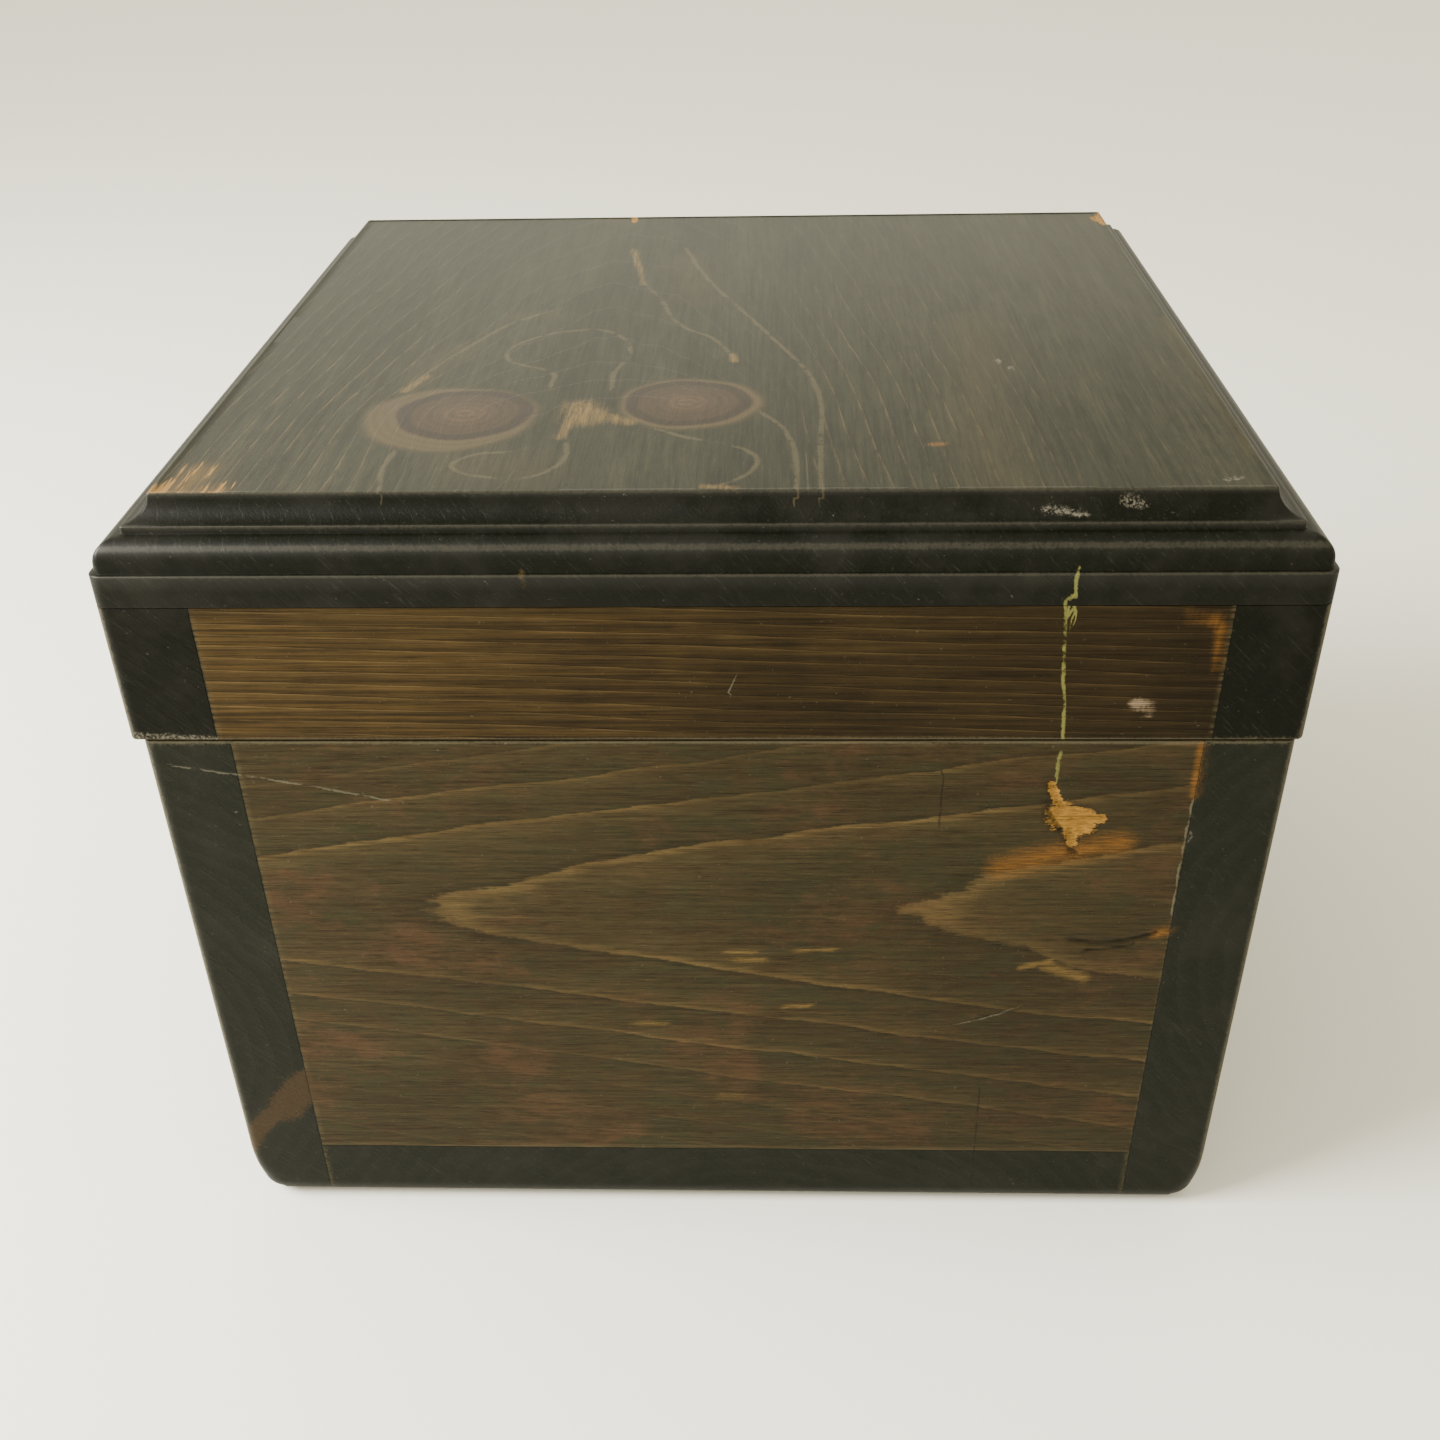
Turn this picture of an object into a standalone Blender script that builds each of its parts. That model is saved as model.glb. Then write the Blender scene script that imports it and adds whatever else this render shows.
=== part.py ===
"""Stained pine box with a hinged, moulded lid.

Plain boards glued up: the side boards run the full depth, so their end grain frames the
front boards, which stand between them. The lid is a second, shallower frame under a top
board whose edge carries a cove and bead moulding. Two brass butt hinges are screwed to
the back. X runs to the right, Y to the back, Z up; the origin is under the middle of
the whole object. Metres.
"""

import math

import bmesh
import bpy
from mathutils import Matrix, Vector

# Driving dimensions
LID_WIDTH = 0.250
LID_DEPTH = 0.238
TOTAL_HEIGHT = 0.1935
SEAM_HEIGHT = 0.142
STOCK = 0.0195
TOP_STOCK = 0.020
LEFT_SETBACK = 0.0026
RIGHT_SETBACK = 0.0014
JOINT_GAP = 0.0003
SEAM_GAP = 0.0004
CORNER_RADIUS = 0.003
FOOT_RADIUS = 0.00635
ROUND_STEPS = 5

# Moulding of the top board, from the flat top outwards and down
COVE_RADIUS = 0.0050
FILLET_DROP = 0.0016
BEAD_LEDGE = 0.0005
BEAD_RADIUS = 0.0049
QUIRK_DROP = 0.0014
LIP_WIDTH = 0.0012
ARC_STEPS = 6
SHARP_CORNER = 0.0003
CORNER_STEPS = 4

# Brass butt hinges
HINGE_LENGTH = 0.050
HINGE_SPACING = 0.140
LEAF_REACH = 0.0165
LEAF_THICKNESS = 0.0015
KNUCKLES = 5
KNUCKLE_RADIUS = 0.0026
KNUCKLE_GAP = 0.0003
KNUCKLE_SIDES = 20
LEAF_CLEARANCE = 0.0005
TAB_START = 0.0008
PIN_RADIUS = 0.0012
PIN_CLEARANCE = 0.00006
PIN_HEAD_RADIUS = 0.0017
PIN_HEAD_HEIGHT = 0.0007

# Countersunk wood screws
SCREW_LENGTH = 0.0120
SCREW_POINT = 0.0030
SHANK_RADIUS = 0.0014
HEAD_RADIUS = 0.0026
HEAD_RIM = 0.0001
SLOT_WIDTH = 0.0006
SLOT_DEPTH = 0.0005
SCREW_PITCH = 0.0175
SCREW_REACH = 0.0100
SCREW_SIDES = 12

# Worked out from the dimensions above
FIT_GAP = JOINT_GAP
PIN_OFFSET = FIT_GAP + KNUCKLE_RADIUS
HINGE_PROUD = PIN_OFFSET + KNUCKLE_RADIUS
FRONT = -(LID_DEPTH + HINGE_PROUD) / 2
BACK = FRONT + LID_DEPTH
PIN_Y = BACK + PIN_OFFSET
LEAF_FACE = BACK + FIT_GAP + LEAF_THICKNESS
BASE_LEFT = -LID_WIDTH / 2 + LEFT_SETBACK
BASE_RIGHT = LID_WIDTH / 2 - RIGHT_SETBACK
BASE_TOP = SEAM_HEIGHT - SEAM_GAP / 2
LID_BOTTOM = SEAM_HEIGHT + SEAM_GAP / 2
TOP_UNDERSIDE = TOTAL_HEIGHT - TOP_STOCK
HINGES = {"left": -HINGE_SPACING / 2, "right": HINGE_SPACING / 2}
SCREW_PLACES = (-SCREW_PITCH, 0.0, SCREW_PITCH)

# Colour, roughness and metallic of each finish
FINISHES = {
    "dark_stain": ((0.022, 0.024, 0.017), 0.42, 0.0),
    "brown_stain": ((0.085, 0.058, 0.030), 0.45, 0.0),
    "top_stain": ((0.060, 0.058, 0.042), 0.40, 0.0),
    "bare_pine": ((0.560, 0.380, 0.200), 0.70, 0.0),
    "brass": ((0.580, 0.420, 0.180), 0.35, 1.0),
}


def clear_scene():
    for old in list(bpy.data.objects):
        bpy.data.objects.remove(old, do_unlink=True)


def new_collection(name):
    group = bpy.data.collections.new(name)
    bpy.context.scene.collection.children.link(group)
    return group


def finish_material(node, finish):
    """A Principled material of the node's own, in the named finish."""
    colour, roughness, metallic = FINISHES[finish]
    material = bpy.data.materials.new(node + "_" + finish)
    material.use_nodes = True
    shader = material.node_tree.nodes["Principled BSDF"]
    shader.inputs["Base Color"].default_value = (*colour, 1.0)
    shader.inputs["Roughness"].default_value = roughness
    shader.inputs["Metallic"].default_value = metallic
    return material


def mesh_of(bm, name):
    """The finished mesh of a bmesh, with its faces pointing out."""
    bmesh.ops.recalc_face_normals(bm, faces=bm.faces)
    mesh = bpy.data.meshes.new(name)
    bm.to_mesh(mesh)
    bm.free()
    return mesh


def evaluated_mesh(source):
    """The mesh of an object with its modifiers applied."""
    bpy.context.view_layer.update()
    graph = bpy.context.evaluated_depsgraph_get()
    return bpy.data.meshes.new_from_object(source.evaluated_get(graph))


class Builder:
    """Places each sub-part in its collection, with its finish and its parent."""

    def __init__(self):
        clear_scene()
        self.parts = new_collection("lidded_pine_box")
        self.cutters = new_collection("cutters")
        self.lid_axis = bpy.data.objects.new("lid_axis", None)
        self.lid_axis.location = (0.0, PIN_Y, SEAM_HEIGHT)
        self.parts.objects.link(self.lid_axis)

    def part(self, name, mesh, location, finish, on_lid):
        """A named sub-part; what swings with the lid hangs on the hinge axis."""
        node = bpy.data.objects.new(name, mesh)
        self.parts.objects.link(node)
        node.location = location
        if on_lid:
            node.parent = self.lid_axis
            node.location = Vector(location) - self.lid_axis.location
        node.data.materials.clear()
        node.data.materials.append(finish_material(name, finish))
        return node

    def cutter(self, name, mesh, location=(0.0, 0.0, 0.0)):
        tool = bpy.data.objects.new(name, mesh)
        self.cutters.objects.link(tool)
        tool.location = location
        tool.hide_render = True
        tool.display_type = "WIRE"
        return tool


def combine(target, tool, operation):
    step = target.modifiers.new(tool.name, "BOOLEAN")
    step.operation = operation
    step.object = tool
    step.solver = "EXACT"


def shade(node, angle=35.0):
    node.data.shade_smooth()
    node.data.set_sharp_from_angle(angle=math.radians(angle))


# Boards


def add_board(builder, name, low, high, finish, on_lid, rounded):
    """A board between two corners.

    rounded gives the radius of each rounded edge by the side of the board that the edge
    lies on, as signs along X, Y and Z.
    """
    low = Vector(low)
    high = Vector(high)
    size = high - low
    bm = bmesh.new()
    bmesh.ops.create_cube(bm, size=1.0, matrix=Matrix.Diagonal((*size, 1.0)))
    weights = bm.edges.layers.float.new("bevel_weight_edge")
    widest = max(rounded.values(), default=0.0)
    for edge in bm.edges:
        middle = (edge.verts[0].co + edge.verts[1].co) / 2
        side = tuple(round(2 * middle[i] / size[i]) for i in range(3))
        edge[weights] = rounded.get(side, 0.0) / widest if widest else 0.0
    board = builder.part(name, mesh_of(bm, name), (low + high) / 2, finish, on_lid)
    if widest:
        round_over = board.modifiers.new("round_over", "BEVEL")
        round_over.limit_method = "WEIGHT"
        round_over.width = widest
        round_over.segments = ROUND_STEPS
    return board


def outer_corners(side):
    """The two upright edges at the front and back of a side board."""
    return {(side, -1, 0): CORNER_RADIUS, (side, 1, 0): CORNER_RADIUS}


def foot_edges(side):
    """The bottom edges of a side board that are rounded over."""
    return {
        (side, 0, -1): FOOT_RADIUS,
        (0, -1, -1): FOOT_RADIUS,
        (0, 1, -1): FOOT_RADIUS,
    }


def add_base_boards(builder):
    inner_left = BASE_LEFT + STOCK + JOINT_GAP
    inner_right = BASE_RIGHT - STOCK - JOINT_GAP
    add_board(
        builder, "base_left_side",
        (BASE_LEFT, FRONT, 0.0), (BASE_LEFT + STOCK, BACK, BASE_TOP),
        "dark_stain", False, {**outer_corners(-1), **foot_edges(-1)},
    )
    add_board(
        builder, "base_right_side",
        (BASE_RIGHT - STOCK, FRONT, 0.0), (BASE_RIGHT, BACK, BASE_TOP),
        "dark_stain", False, {**outer_corners(1), **foot_edges(1)},
    )
    add_board(
        builder, "base_bottom",
        (inner_left, FRONT, 0.0), (inner_right, BACK, STOCK),
        "dark_stain", False, {(0, -1, -1): FOOT_RADIUS, (0, 1, -1): FOOT_RADIUS},
    )
    add_board(
        builder, "base_front",
        (inner_left, FRONT, STOCK + JOINT_GAP), (inner_right, FRONT + STOCK, BASE_TOP),
        "brown_stain", False, {},
    )
    return add_board(
        builder, "base_back",
        (inner_left, BACK - STOCK, STOCK + JOINT_GAP), (inner_right, BACK, BASE_TOP),
        "brown_stain", False, {},
    )


def add_lid_boards(builder):
    half = LID_WIDTH / 2
    inner = half - STOCK - JOINT_GAP
    top = TOP_UNDERSIDE - JOINT_GAP
    add_board(
        builder, "lid_left_side",
        (-half, FRONT, LID_BOTTOM), (-half + STOCK, BACK, top),
        "dark_stain", True, outer_corners(-1),
    )
    add_board(
        builder, "lid_right_side",
        (half - STOCK, FRONT, LID_BOTTOM), (half, BACK, top),
        "dark_stain", True, outer_corners(1),
    )
    add_board(
        builder, "lid_front",
        (-inner, FRONT, LID_BOTTOM), (inner, FRONT + STOCK, top),
        "brown_stain", True, {},
    )
    return add_board(
        builder, "lid_back",
        (-inner, BACK - STOCK, LID_BOTTOM), (inner, BACK, top),
        "brown_stain", True, {},
    )


# Moulded top board


def arc(centre, radius, start, end):
    """Points of an arc in (inset, drop), angles in degrees, ends included."""
    turns = [start + (end - start) * i / ARC_STEPS for i in range(ARC_STEPS + 1)]
    return [
        (
            centre[0] + radius * math.cos(math.radians(turn)),
            centre[1] + radius * math.sin(math.radians(turn)),
        )
        for turn in turns
    ]


def moulding_profile():
    """(inset from the board's edge, drop below its face) from the flat top downwards."""
    cove_inset = LIP_WIDTH + BEAD_RADIUS + BEAD_LEDGE
    fillet_drop = COVE_RADIUS + FILLET_DROP
    bead_drop = fillet_drop + BEAD_RADIUS
    lip_drop = bead_drop + QUIRK_DROP
    cove = arc((cove_inset, 0.0), COVE_RADIUS, 0, 90)
    bead = arc((LIP_WIDTH + BEAD_RADIUS, bead_drop), BEAD_RADIUS, 270, 180)
    return (
        cove
        + [(cove_inset, fillet_drop)]
        + bead
        + [(LIP_WIDTH, lip_drop), (0.0, lip_drop), (0.0, TOP_STOCK)]
    )


def ring_points(inset, height):
    """A rounded rectangle at an inset from the top board's outline."""
    radius = max(CORNER_RADIUS - inset, SHARP_CORNER)
    centre_x = LID_WIDTH / 2 - inset - radius
    centre_y = LID_DEPTH / 2 - inset - radius
    points = []
    for quarter, (side_x, side_y) in enumerate(((1, 1), (-1, 1), (-1, -1), (1, -1))):
        for i in range(CORNER_STEPS + 1):
            turn = math.pi / 2 * (quarter + i / CORNER_STEPS)
            x = side_x * centre_x + radius * math.cos(turn)
            y = side_y * centre_y + radius * math.sin(turn)
            points.append((x, y, height))
    return points


def add_top_board(builder):
    """The moulding's profile carried round the board as a stack of rings."""
    bm = bmesh.new()
    rings = [
        [bm.verts.new(point) for point in ring_points(inset, TOP_STOCK / 2 - drop)]
        for inset, drop in moulding_profile()
    ]
    for upper, lower in zip(rings, rings[1:]):
        for i in range(len(upper)):
            bm.faces.new((upper[i - 1], upper[i], lower[i], lower[i - 1]))
    bm.faces.new(rings[0])
    bm.faces.new(rings[-1])
    place = (0.0, (FRONT + BACK) / 2, TOTAL_HEIGHT - TOP_STOCK / 2)
    top = builder.part("lid_top", mesh_of(bm, "lid_top"), place, "top_stain", True)
    shade(top)


# Hinges


def cylinder_along_x(bm, start, end, radius, sides):
    length = end - start
    place = Matrix.Translation(((start + end) / 2, 0.0, 0.0))
    bmesh.ops.create_cone(
        bm, cap_ends=True, segments=sides, radius1=radius, radius2=radius, depth=length,
        matrix=place @ Matrix.Rotation(math.pi / 2, 4, "Y"),
    )


def knuckle_spans(own):
    """Start and end of a leaf's own knuckles along the hinge: 0 for even, 1 for odd."""
    pitch = HINGE_LENGTH / KNUCKLES
    spans = []
    for i in range(own, KNUCKLES, 2):
        start = -HINGE_LENGTH / 2 + i * pitch + KNUCKLE_GAP / 2
        spans.append((start, start + pitch - KNUCKLE_GAP))
    return spans


def leaf_outline(own, side):
    """Comb-shaped outline in X and Z: a plate with a tab at each of its own knuckles."""
    half = HINGE_LENGTH / 2
    cut_back = side * (KNUCKLE_RADIUS + LEAF_CLEARANCE)
    outline = [(-half, side * LEAF_REACH), (-half, cut_back)]
    for start, end in knuckle_spans(own):
        outline += [(start, cut_back), (start, side * TAB_START)]
        outline += [(end, side * TAB_START), (end, cut_back)]
    outline += [(half, cut_back), (half, side * LEAF_REACH)]
    return outline


def leaf_plate(own, side):
    """The flat of a leaf, in axes centred on the hinge pin."""
    bm = bmesh.new()
    inner_face = -KNUCKLE_RADIUS
    corners = [bm.verts.new((x, inner_face, z)) for x, z in leaf_outline(own, side)]
    face = bm.faces.new(corners)
    grown = bmesh.ops.extrude_face_region(bm, geom=[face])["geom"]
    moved = [item for item in grown if isinstance(item, bmesh.types.BMVert)]
    bmesh.ops.translate(bm, verts=moved, vec=(0.0, LEAF_THICKNESS, 0.0))
    return mesh_of(bm, "leaf_plate")


def leaf_mesh(builder, own, side):
    """A whole leaf: plate, knuckles, pin bore and countersunk screw holes."""
    name = "upper_leaf" if side > 0 else "lower_leaf"
    plate = builder.cutter(name + "_plate", leaf_plate(own, side))
    barrel = bmesh.new()
    for start, end in knuckle_spans(own):
        cylinder_along_x(barrel, start, end, KNUCKLE_RADIUS, KNUCKLE_SIDES)
    combine(plate, builder.cutter(name + "_barrel", mesh_of(barrel, "barrel")), "UNION")
    bore = bmesh.new()
    cylinder_along_x(
        bore, -HINGE_LENGTH, HINGE_LENGTH, PIN_RADIUS + PIN_CLEARANCE, KNUCKLE_SIDES
    )
    combine(plate, builder.cutter(name + "_bore", mesh_of(bore, "bore")), "DIFFERENCE")
    holes = bmesh.new()
    outer_face = LEAF_THICKNESS - KNUCKLE_RADIUS
    for x in SCREW_PLACES:
        countersink(holes, (x, outer_face, side * SCREW_REACH))
    combine(plate, builder.cutter(name + "_holes", mesh_of(holes, "holes")), "DIFFERENCE")
    return evaluated_mesh(plate)


def countersink(bm, place):
    """A screw hole opening to the head's cone, cutting past both faces of the leaf."""
    narrow = SHANK_RADIUS + FIT_GAP
    wide = HEAD_RADIUS + FIT_GAP + HEAD_RIM
    rows = (
        (-2 * LEAF_THICKNESS, narrow),
        (SHANK_RADIUS - HEAD_RADIUS, narrow),
        (HEAD_RIM, wide),
        (LEAF_THICKNESS, wide),
    )
    rings = []
    for along, radius in rows:
        ring = []
        for i in range(SCREW_SIDES):
            turn = 2 * math.pi * i / SCREW_SIDES
            offset = Vector((radius * math.cos(turn), along, radius * math.sin(turn)))
            ring.append(bm.verts.new(Vector(place) + offset))
        rings.append(ring)
    for first, second in zip(rings, rings[1:]):
        for i in range(SCREW_SIDES):
            bm.faces.new((first[i - 1], first[i], second[i], second[i - 1]))
    bm.faces.new(rings[0])
    bm.faces.new(rings[-1])


def turned_mesh(builder, name, profile, sides):
    """A profile of (radius, height) turned about Z, listed from the bottom up."""
    outline = bpy.data.meshes.new(name)
    points = [(radius, 0.0, height) for radius, height in reversed(profile)]
    edges = [(i, i + 1) for i in range(len(points) - 1)]
    outline.from_pydata(points, edges, [])
    source = builder.cutter(name + "_outline", outline)
    turn = source.modifiers.new("turn", "SCREW")
    turn.steps = sides
    turn.render_steps = sides
    turn.use_merge_vertices = True
    turn.merge_threshold = 0.00001
    solid = evaluated_mesh(source)
    bm = bmesh.new()
    bm.from_mesh(solid)
    bmesh.ops.remove_doubles(bm, verts=bm.verts, dist=0.000001)
    bpy.data.objects.remove(source)
    return mesh_of(bm, name)


def pin_mesh(builder):
    """The hinge pin with a low button at each end, clear of the end knuckles."""
    shaft = HINGE_LENGTH / 2 + FIT_GAP
    end = shaft + PIN_HEAD_HEIGHT
    crown = PIN_HEAD_RADIUS - PIN_HEAD_HEIGHT
    profile = [
        (0.0, -end),
        (crown, -end),
        (PIN_HEAD_RADIUS, -shaft),
        (PIN_RADIUS, -shaft),
        (PIN_RADIUS, shaft),
        (PIN_HEAD_RADIUS, shaft),
        (crown, end),
        (0.0, end),
    ]
    return turned_mesh(builder, "hinge_pin", profile, KNUCKLE_SIDES)


def screw_mesh(builder):
    """A slotted countersunk screw, its head's face at the origin and facing +Z."""
    cone = HEAD_RADIUS - SHANK_RADIUS
    profile = [
        (0.0, -SCREW_LENGTH),
        (SHANK_RADIUS, SCREW_POINT - SCREW_LENGTH),
        (SHANK_RADIUS, -HEAD_RIM - cone),
        (HEAD_RADIUS, -HEAD_RIM),
        (HEAD_RADIUS, 0.0),
        (0.0, 0.0),
    ]
    screw = builder.cutter("screw_blank", turned_mesh(builder, "screw", profile, SCREW_SIDES))
    slot = bmesh.new()
    size = (4 * HEAD_RADIUS, SLOT_WIDTH, 2 * SLOT_DEPTH, 1.0)
    bmesh.ops.create_cube(slot, size=1.0, matrix=Matrix.Diagonal(size))
    combine(screw, builder.cutter("screw_slot", mesh_of(slot, "slot")), "DIFFERENCE")
    return evaluated_mesh(screw)


def add_hinges(builder):
    lower = leaf_mesh(builder, 0, -1)
    upper = leaf_mesh(builder, 1, 1)
    pin = pin_mesh(builder)
    for side, x in HINGES.items():
        place = (x, PIN_Y, SEAM_HEIGHT)
        parts = (
            ("hinge_" + side + "_lower_leaf", lower, False),
            ("hinge_" + side + "_upper_leaf", upper, True),
            ("hinge_" + side + "_pin", pin, False),
        )
        for name, mesh, on_lid in parts:
            node = builder.part(name, mesh.copy(), place, "brass", on_lid)
            shade(node)
            if mesh is pin:
                node.rotation_euler = (0.0, math.pi / 2, 0.0)


def screw_rows():
    """(leaf, height of its row of screws) for the lower and the upper leaves."""
    return (("lower", SEAM_HEIGHT - SCREW_REACH), ("upper", SEAM_HEIGHT + SCREW_REACH))


def add_screws(builder):
    mesh = screw_mesh(builder)
    for side, hinge_x in HINGES.items():
        for leaf, height in screw_rows():
            for number, offset in enumerate(SCREW_PLACES, 1):
                name = "screw_" + side + "_" + leaf + "_" + str(number)
                place = (hinge_x + offset, LEAF_FACE, height)
                screw = builder.part(name, mesh.copy(), place, "brass", leaf == "upper")
                screw.rotation_euler = (-math.pi / 2, 0.0, 0.0)
                shade(screw)


def drill_pilot_holes(builder, board, leaf, height):
    """Blind holes in a back board for the screws of both hinges."""
    holes = bmesh.new()
    depth = SCREW_LENGTH - LEAF_THICKNESS
    for hinge_x in HINGES.values():
        for offset in SCREW_PLACES:
            place = Matrix.Translation((hinge_x + offset, BACK, height))
            bmesh.ops.create_cone(
                holes, cap_ends=True, segments=SCREW_SIDES, depth=2 * depth,
                radius1=SHANK_RADIUS + FIT_GAP, radius2=SHANK_RADIUS + FIT_GAP,
                matrix=place @ Matrix.Rotation(math.pi / 2, 4, "X"),
            )
    combine(board, builder.cutter(leaf + "_pilot_holes", mesh_of(holes, "holes")), "DIFFERENCE")


def main():
    builder = Builder()
    back_boards = (add_base_boards(builder), add_lid_boards(builder))
    add_top_board(builder)
    for board, (leaf, height) in zip(back_boards, screw_rows()):
        drill_pilot_holes(builder, board, leaf, height)
    add_hinges(builder)
    add_screws(builder)


main()
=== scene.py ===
"""Stained pine box with a hinged, moulded lid: fine boards, brass fittings and finishes.

Lengths inside the script are millimetres in the frame of the loaded parts: X to the
right, Y to the back, Z up. They become metres when a mesh is written.
"""

import math

import bpy
import numpy as np
from mathutils import Matrix, Vector


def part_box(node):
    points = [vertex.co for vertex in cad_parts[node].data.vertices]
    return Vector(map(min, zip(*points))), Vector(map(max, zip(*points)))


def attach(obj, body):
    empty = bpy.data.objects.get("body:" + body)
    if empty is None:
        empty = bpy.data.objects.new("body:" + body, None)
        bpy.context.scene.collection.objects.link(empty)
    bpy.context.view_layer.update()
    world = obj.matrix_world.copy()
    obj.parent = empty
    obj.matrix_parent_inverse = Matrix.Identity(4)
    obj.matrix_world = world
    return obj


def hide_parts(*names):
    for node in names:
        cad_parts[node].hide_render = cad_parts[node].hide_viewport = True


bl_info = {
    "name": "Hinged Pine Box",
    "version": (1, 0, 0),
    "blender": (4, 5, 0),
    "location": "3D View > Sidebar > Pine Box",
    "description": "Builds a stained pine box with a moulded lid, brass hinges and a stage",
    "category": "Object",
}

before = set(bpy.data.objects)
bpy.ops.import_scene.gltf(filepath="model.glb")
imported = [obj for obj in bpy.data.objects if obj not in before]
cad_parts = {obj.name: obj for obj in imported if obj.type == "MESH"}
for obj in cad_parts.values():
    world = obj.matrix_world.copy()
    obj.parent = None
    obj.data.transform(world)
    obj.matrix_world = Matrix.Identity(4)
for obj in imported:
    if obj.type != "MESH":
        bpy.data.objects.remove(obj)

MM = 0.001
X, Y, Z = 0, 1, 2

# The faces of a board: the axis that they look along and the end of it
FACES = {
    "left": (X, 0), "right": (X, 1),
    "front": (Y, 0), "back": (Y, 1),
    "foot": (Z, 0), "head": (Z, 1),
}
# How far a glued edge reaches past its packed board, to close the joint
JOINT_CLOSE = 0.27
# Radii of the boards' edges: cut square, at the rims of lid and base, upright, at the foot
SHARP_EASE = 0.12
RIM_EASE = 0.45
CORNER_RADIUS = 3.0
FOOT_RADIUS = 6.35
# The base's upright corners grow by FOOT_BALL from a height down, over a span
FOOT_BALL = 4.2
FOOT_BLEND_TOP = 18.0
FOOT_BLEND_SPAN = 12.0
# The ball that the three rolled edges meet in at each corner of the foot
BALL_RADIUS = 7.0


def node_box(node):
    """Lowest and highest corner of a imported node, in millimetres."""
    low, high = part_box(node)
    return np.array(low) / MM, np.array(high) / MM


def body_box(body):
    """Lowest and highest corner of a body's boards, in millimetres."""
    boxes = [node_box(board.node) for board in BOARDS if board.body == body]
    return np.min([low for low, _ in boxes], axis=0), np.max([high for _, high in boxes], axis=0)


# Sizes and colours that can be changed


def colour_property(name, description, default):
    return bpy.props.FloatVectorProperty(
        name=name, description=description, default=default,
        size=3, min=0.0, max=1.0, subtype="COLOR",
    )


class PINEBOX_PG_sizes(bpy.types.PropertyGroup):
    board_grid: bpy.props.FloatProperty(
        name="Board grid", description="Spacing of the surface grid on the boards",
        default=0.0026, min=0.001, max=0.01, unit="LENGTH",
    )
    top_grid: bpy.props.FloatProperty(
        name="Top grid", description="Spacing of the surface grid on the moulded top",
        default=0.0022, min=0.001, max=0.01, unit="LENGTH",
    )
    hand_planed: bpy.props.FloatProperty(
        name="Hand-planed hollows", description="Depth of the slow hollows in the faces",
        default=0.00012, min=0.0, max=0.0005, unit="LENGTH",
    )
    corner_radius: bpy.props.FloatProperty(
        name="Corner radius", description="Rounding of the box's upright corners",
        default=CORNER_RADIUS * MM, min=0.0005, max=0.006, unit="LENGTH",
    )
    foot_radius: bpy.props.FloatProperty(
        name="Foot radius", description="Rounding of the box's bottom edge",
        default=FOOT_RADIUS * MM, min=0.001, max=0.009, unit="LENGTH",
    )


class PINEBOX_PG_colours(bpy.types.PropertyGroup):
    front_stain: colour_property(
        "Front stain", "Olive-brown stain of the base boards", (0.033, 0.0235, 0.0105))
    lid_stain: colour_property(
        "Lid stain", "Warmer brown stain of the lid boards", (0.032, 0.0205, 0.0070))
    dark_stain: colour_property(
        "Dark stain", "Green-black stain of end grain and moulding", (0.0074, 0.0084, 0.0038))
    top_stain: colour_property(
        "Top stain", "Green-black stain of the top board", (0.0130, 0.0130, 0.0070))
    latewood: colour_property(
        "Latewood", "Tan of the growth lines that the stain did not fill", (0.084, 0.055, 0.021))
    bare_pine: colour_property(
        "Bare pine", "Unstained wood inside the box", (0.36, 0.215, 0.085))
    torn_pine: colour_property(
        "Torn pine", "Fibres laid open in chips and worn corners", (0.155, 0.082, 0.017))
    knot: colour_property(
        "Knot", "Brown heart of the knots", (0.0210, 0.0115, 0.0052))
    brass: colour_property(
        "Brass", "Clean brass of the hinges and screws", (0.55, 0.40, 0.17))
    floor: colour_property(
        "Floor", "Plain pale floor", (0.82, 0.80, 0.73))


def sizes():
    return bpy.context.scene.pinebox_sizes


def colours():
    return bpy.context.scene.pinebox_colours


# Shader sums


class Signal:
    """A shader socket that takes part in Python sums: each operator adds one Math node."""

    def __init__(self, finish, socket):
        self.finish = finish
        self.socket = socket

    def maths(self, operation, *others, first=None):
        values = (self if first is None else first,) + others
        return self.finish.node(
            "ShaderNodeMath", {"operation": operation}, dict(enumerate(values)))

    def __add__(self, other):
        return self.maths("ADD", other)

    def __radd__(self, other):
        return self.maths("ADD", other)

    def __sub__(self, other):
        return self.maths("SUBTRACT", other)

    def __rsub__(self, other):
        return self.maths("SUBTRACT", self, first=other)

    def __mul__(self, other):
        return self.maths("MULTIPLY", other)

    def __rmul__(self, other):
        return self.maths("MULTIPLY", other)

    def __truediv__(self, other):
        return self.maths("DIVIDE", other)

    def __abs__(self):
        return self.maths("ABSOLUTE")

    def fraction(self):
        return self.maths("FRACT")

    def sine(self):
        return self.maths("SINE")

    def most(self, other):
        return self.maths("MAXIMUM", other)

    def least(self, other):
        return self.maths("MINIMUM", other)

    def rise(self, start, end):
        """0 below start, 1 above end, with a smooth step between; start may be the larger."""
        low, high = min(start, end), max(start, end)
        step = self.finish.node(
            "ShaderNodeMapRange",
            {"interpolation_type": "SMOOTHSTEP"},
            {"Value": self, "From Min": low, "From Max": high},
        )
        return step if start < end else 1 - step


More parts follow.
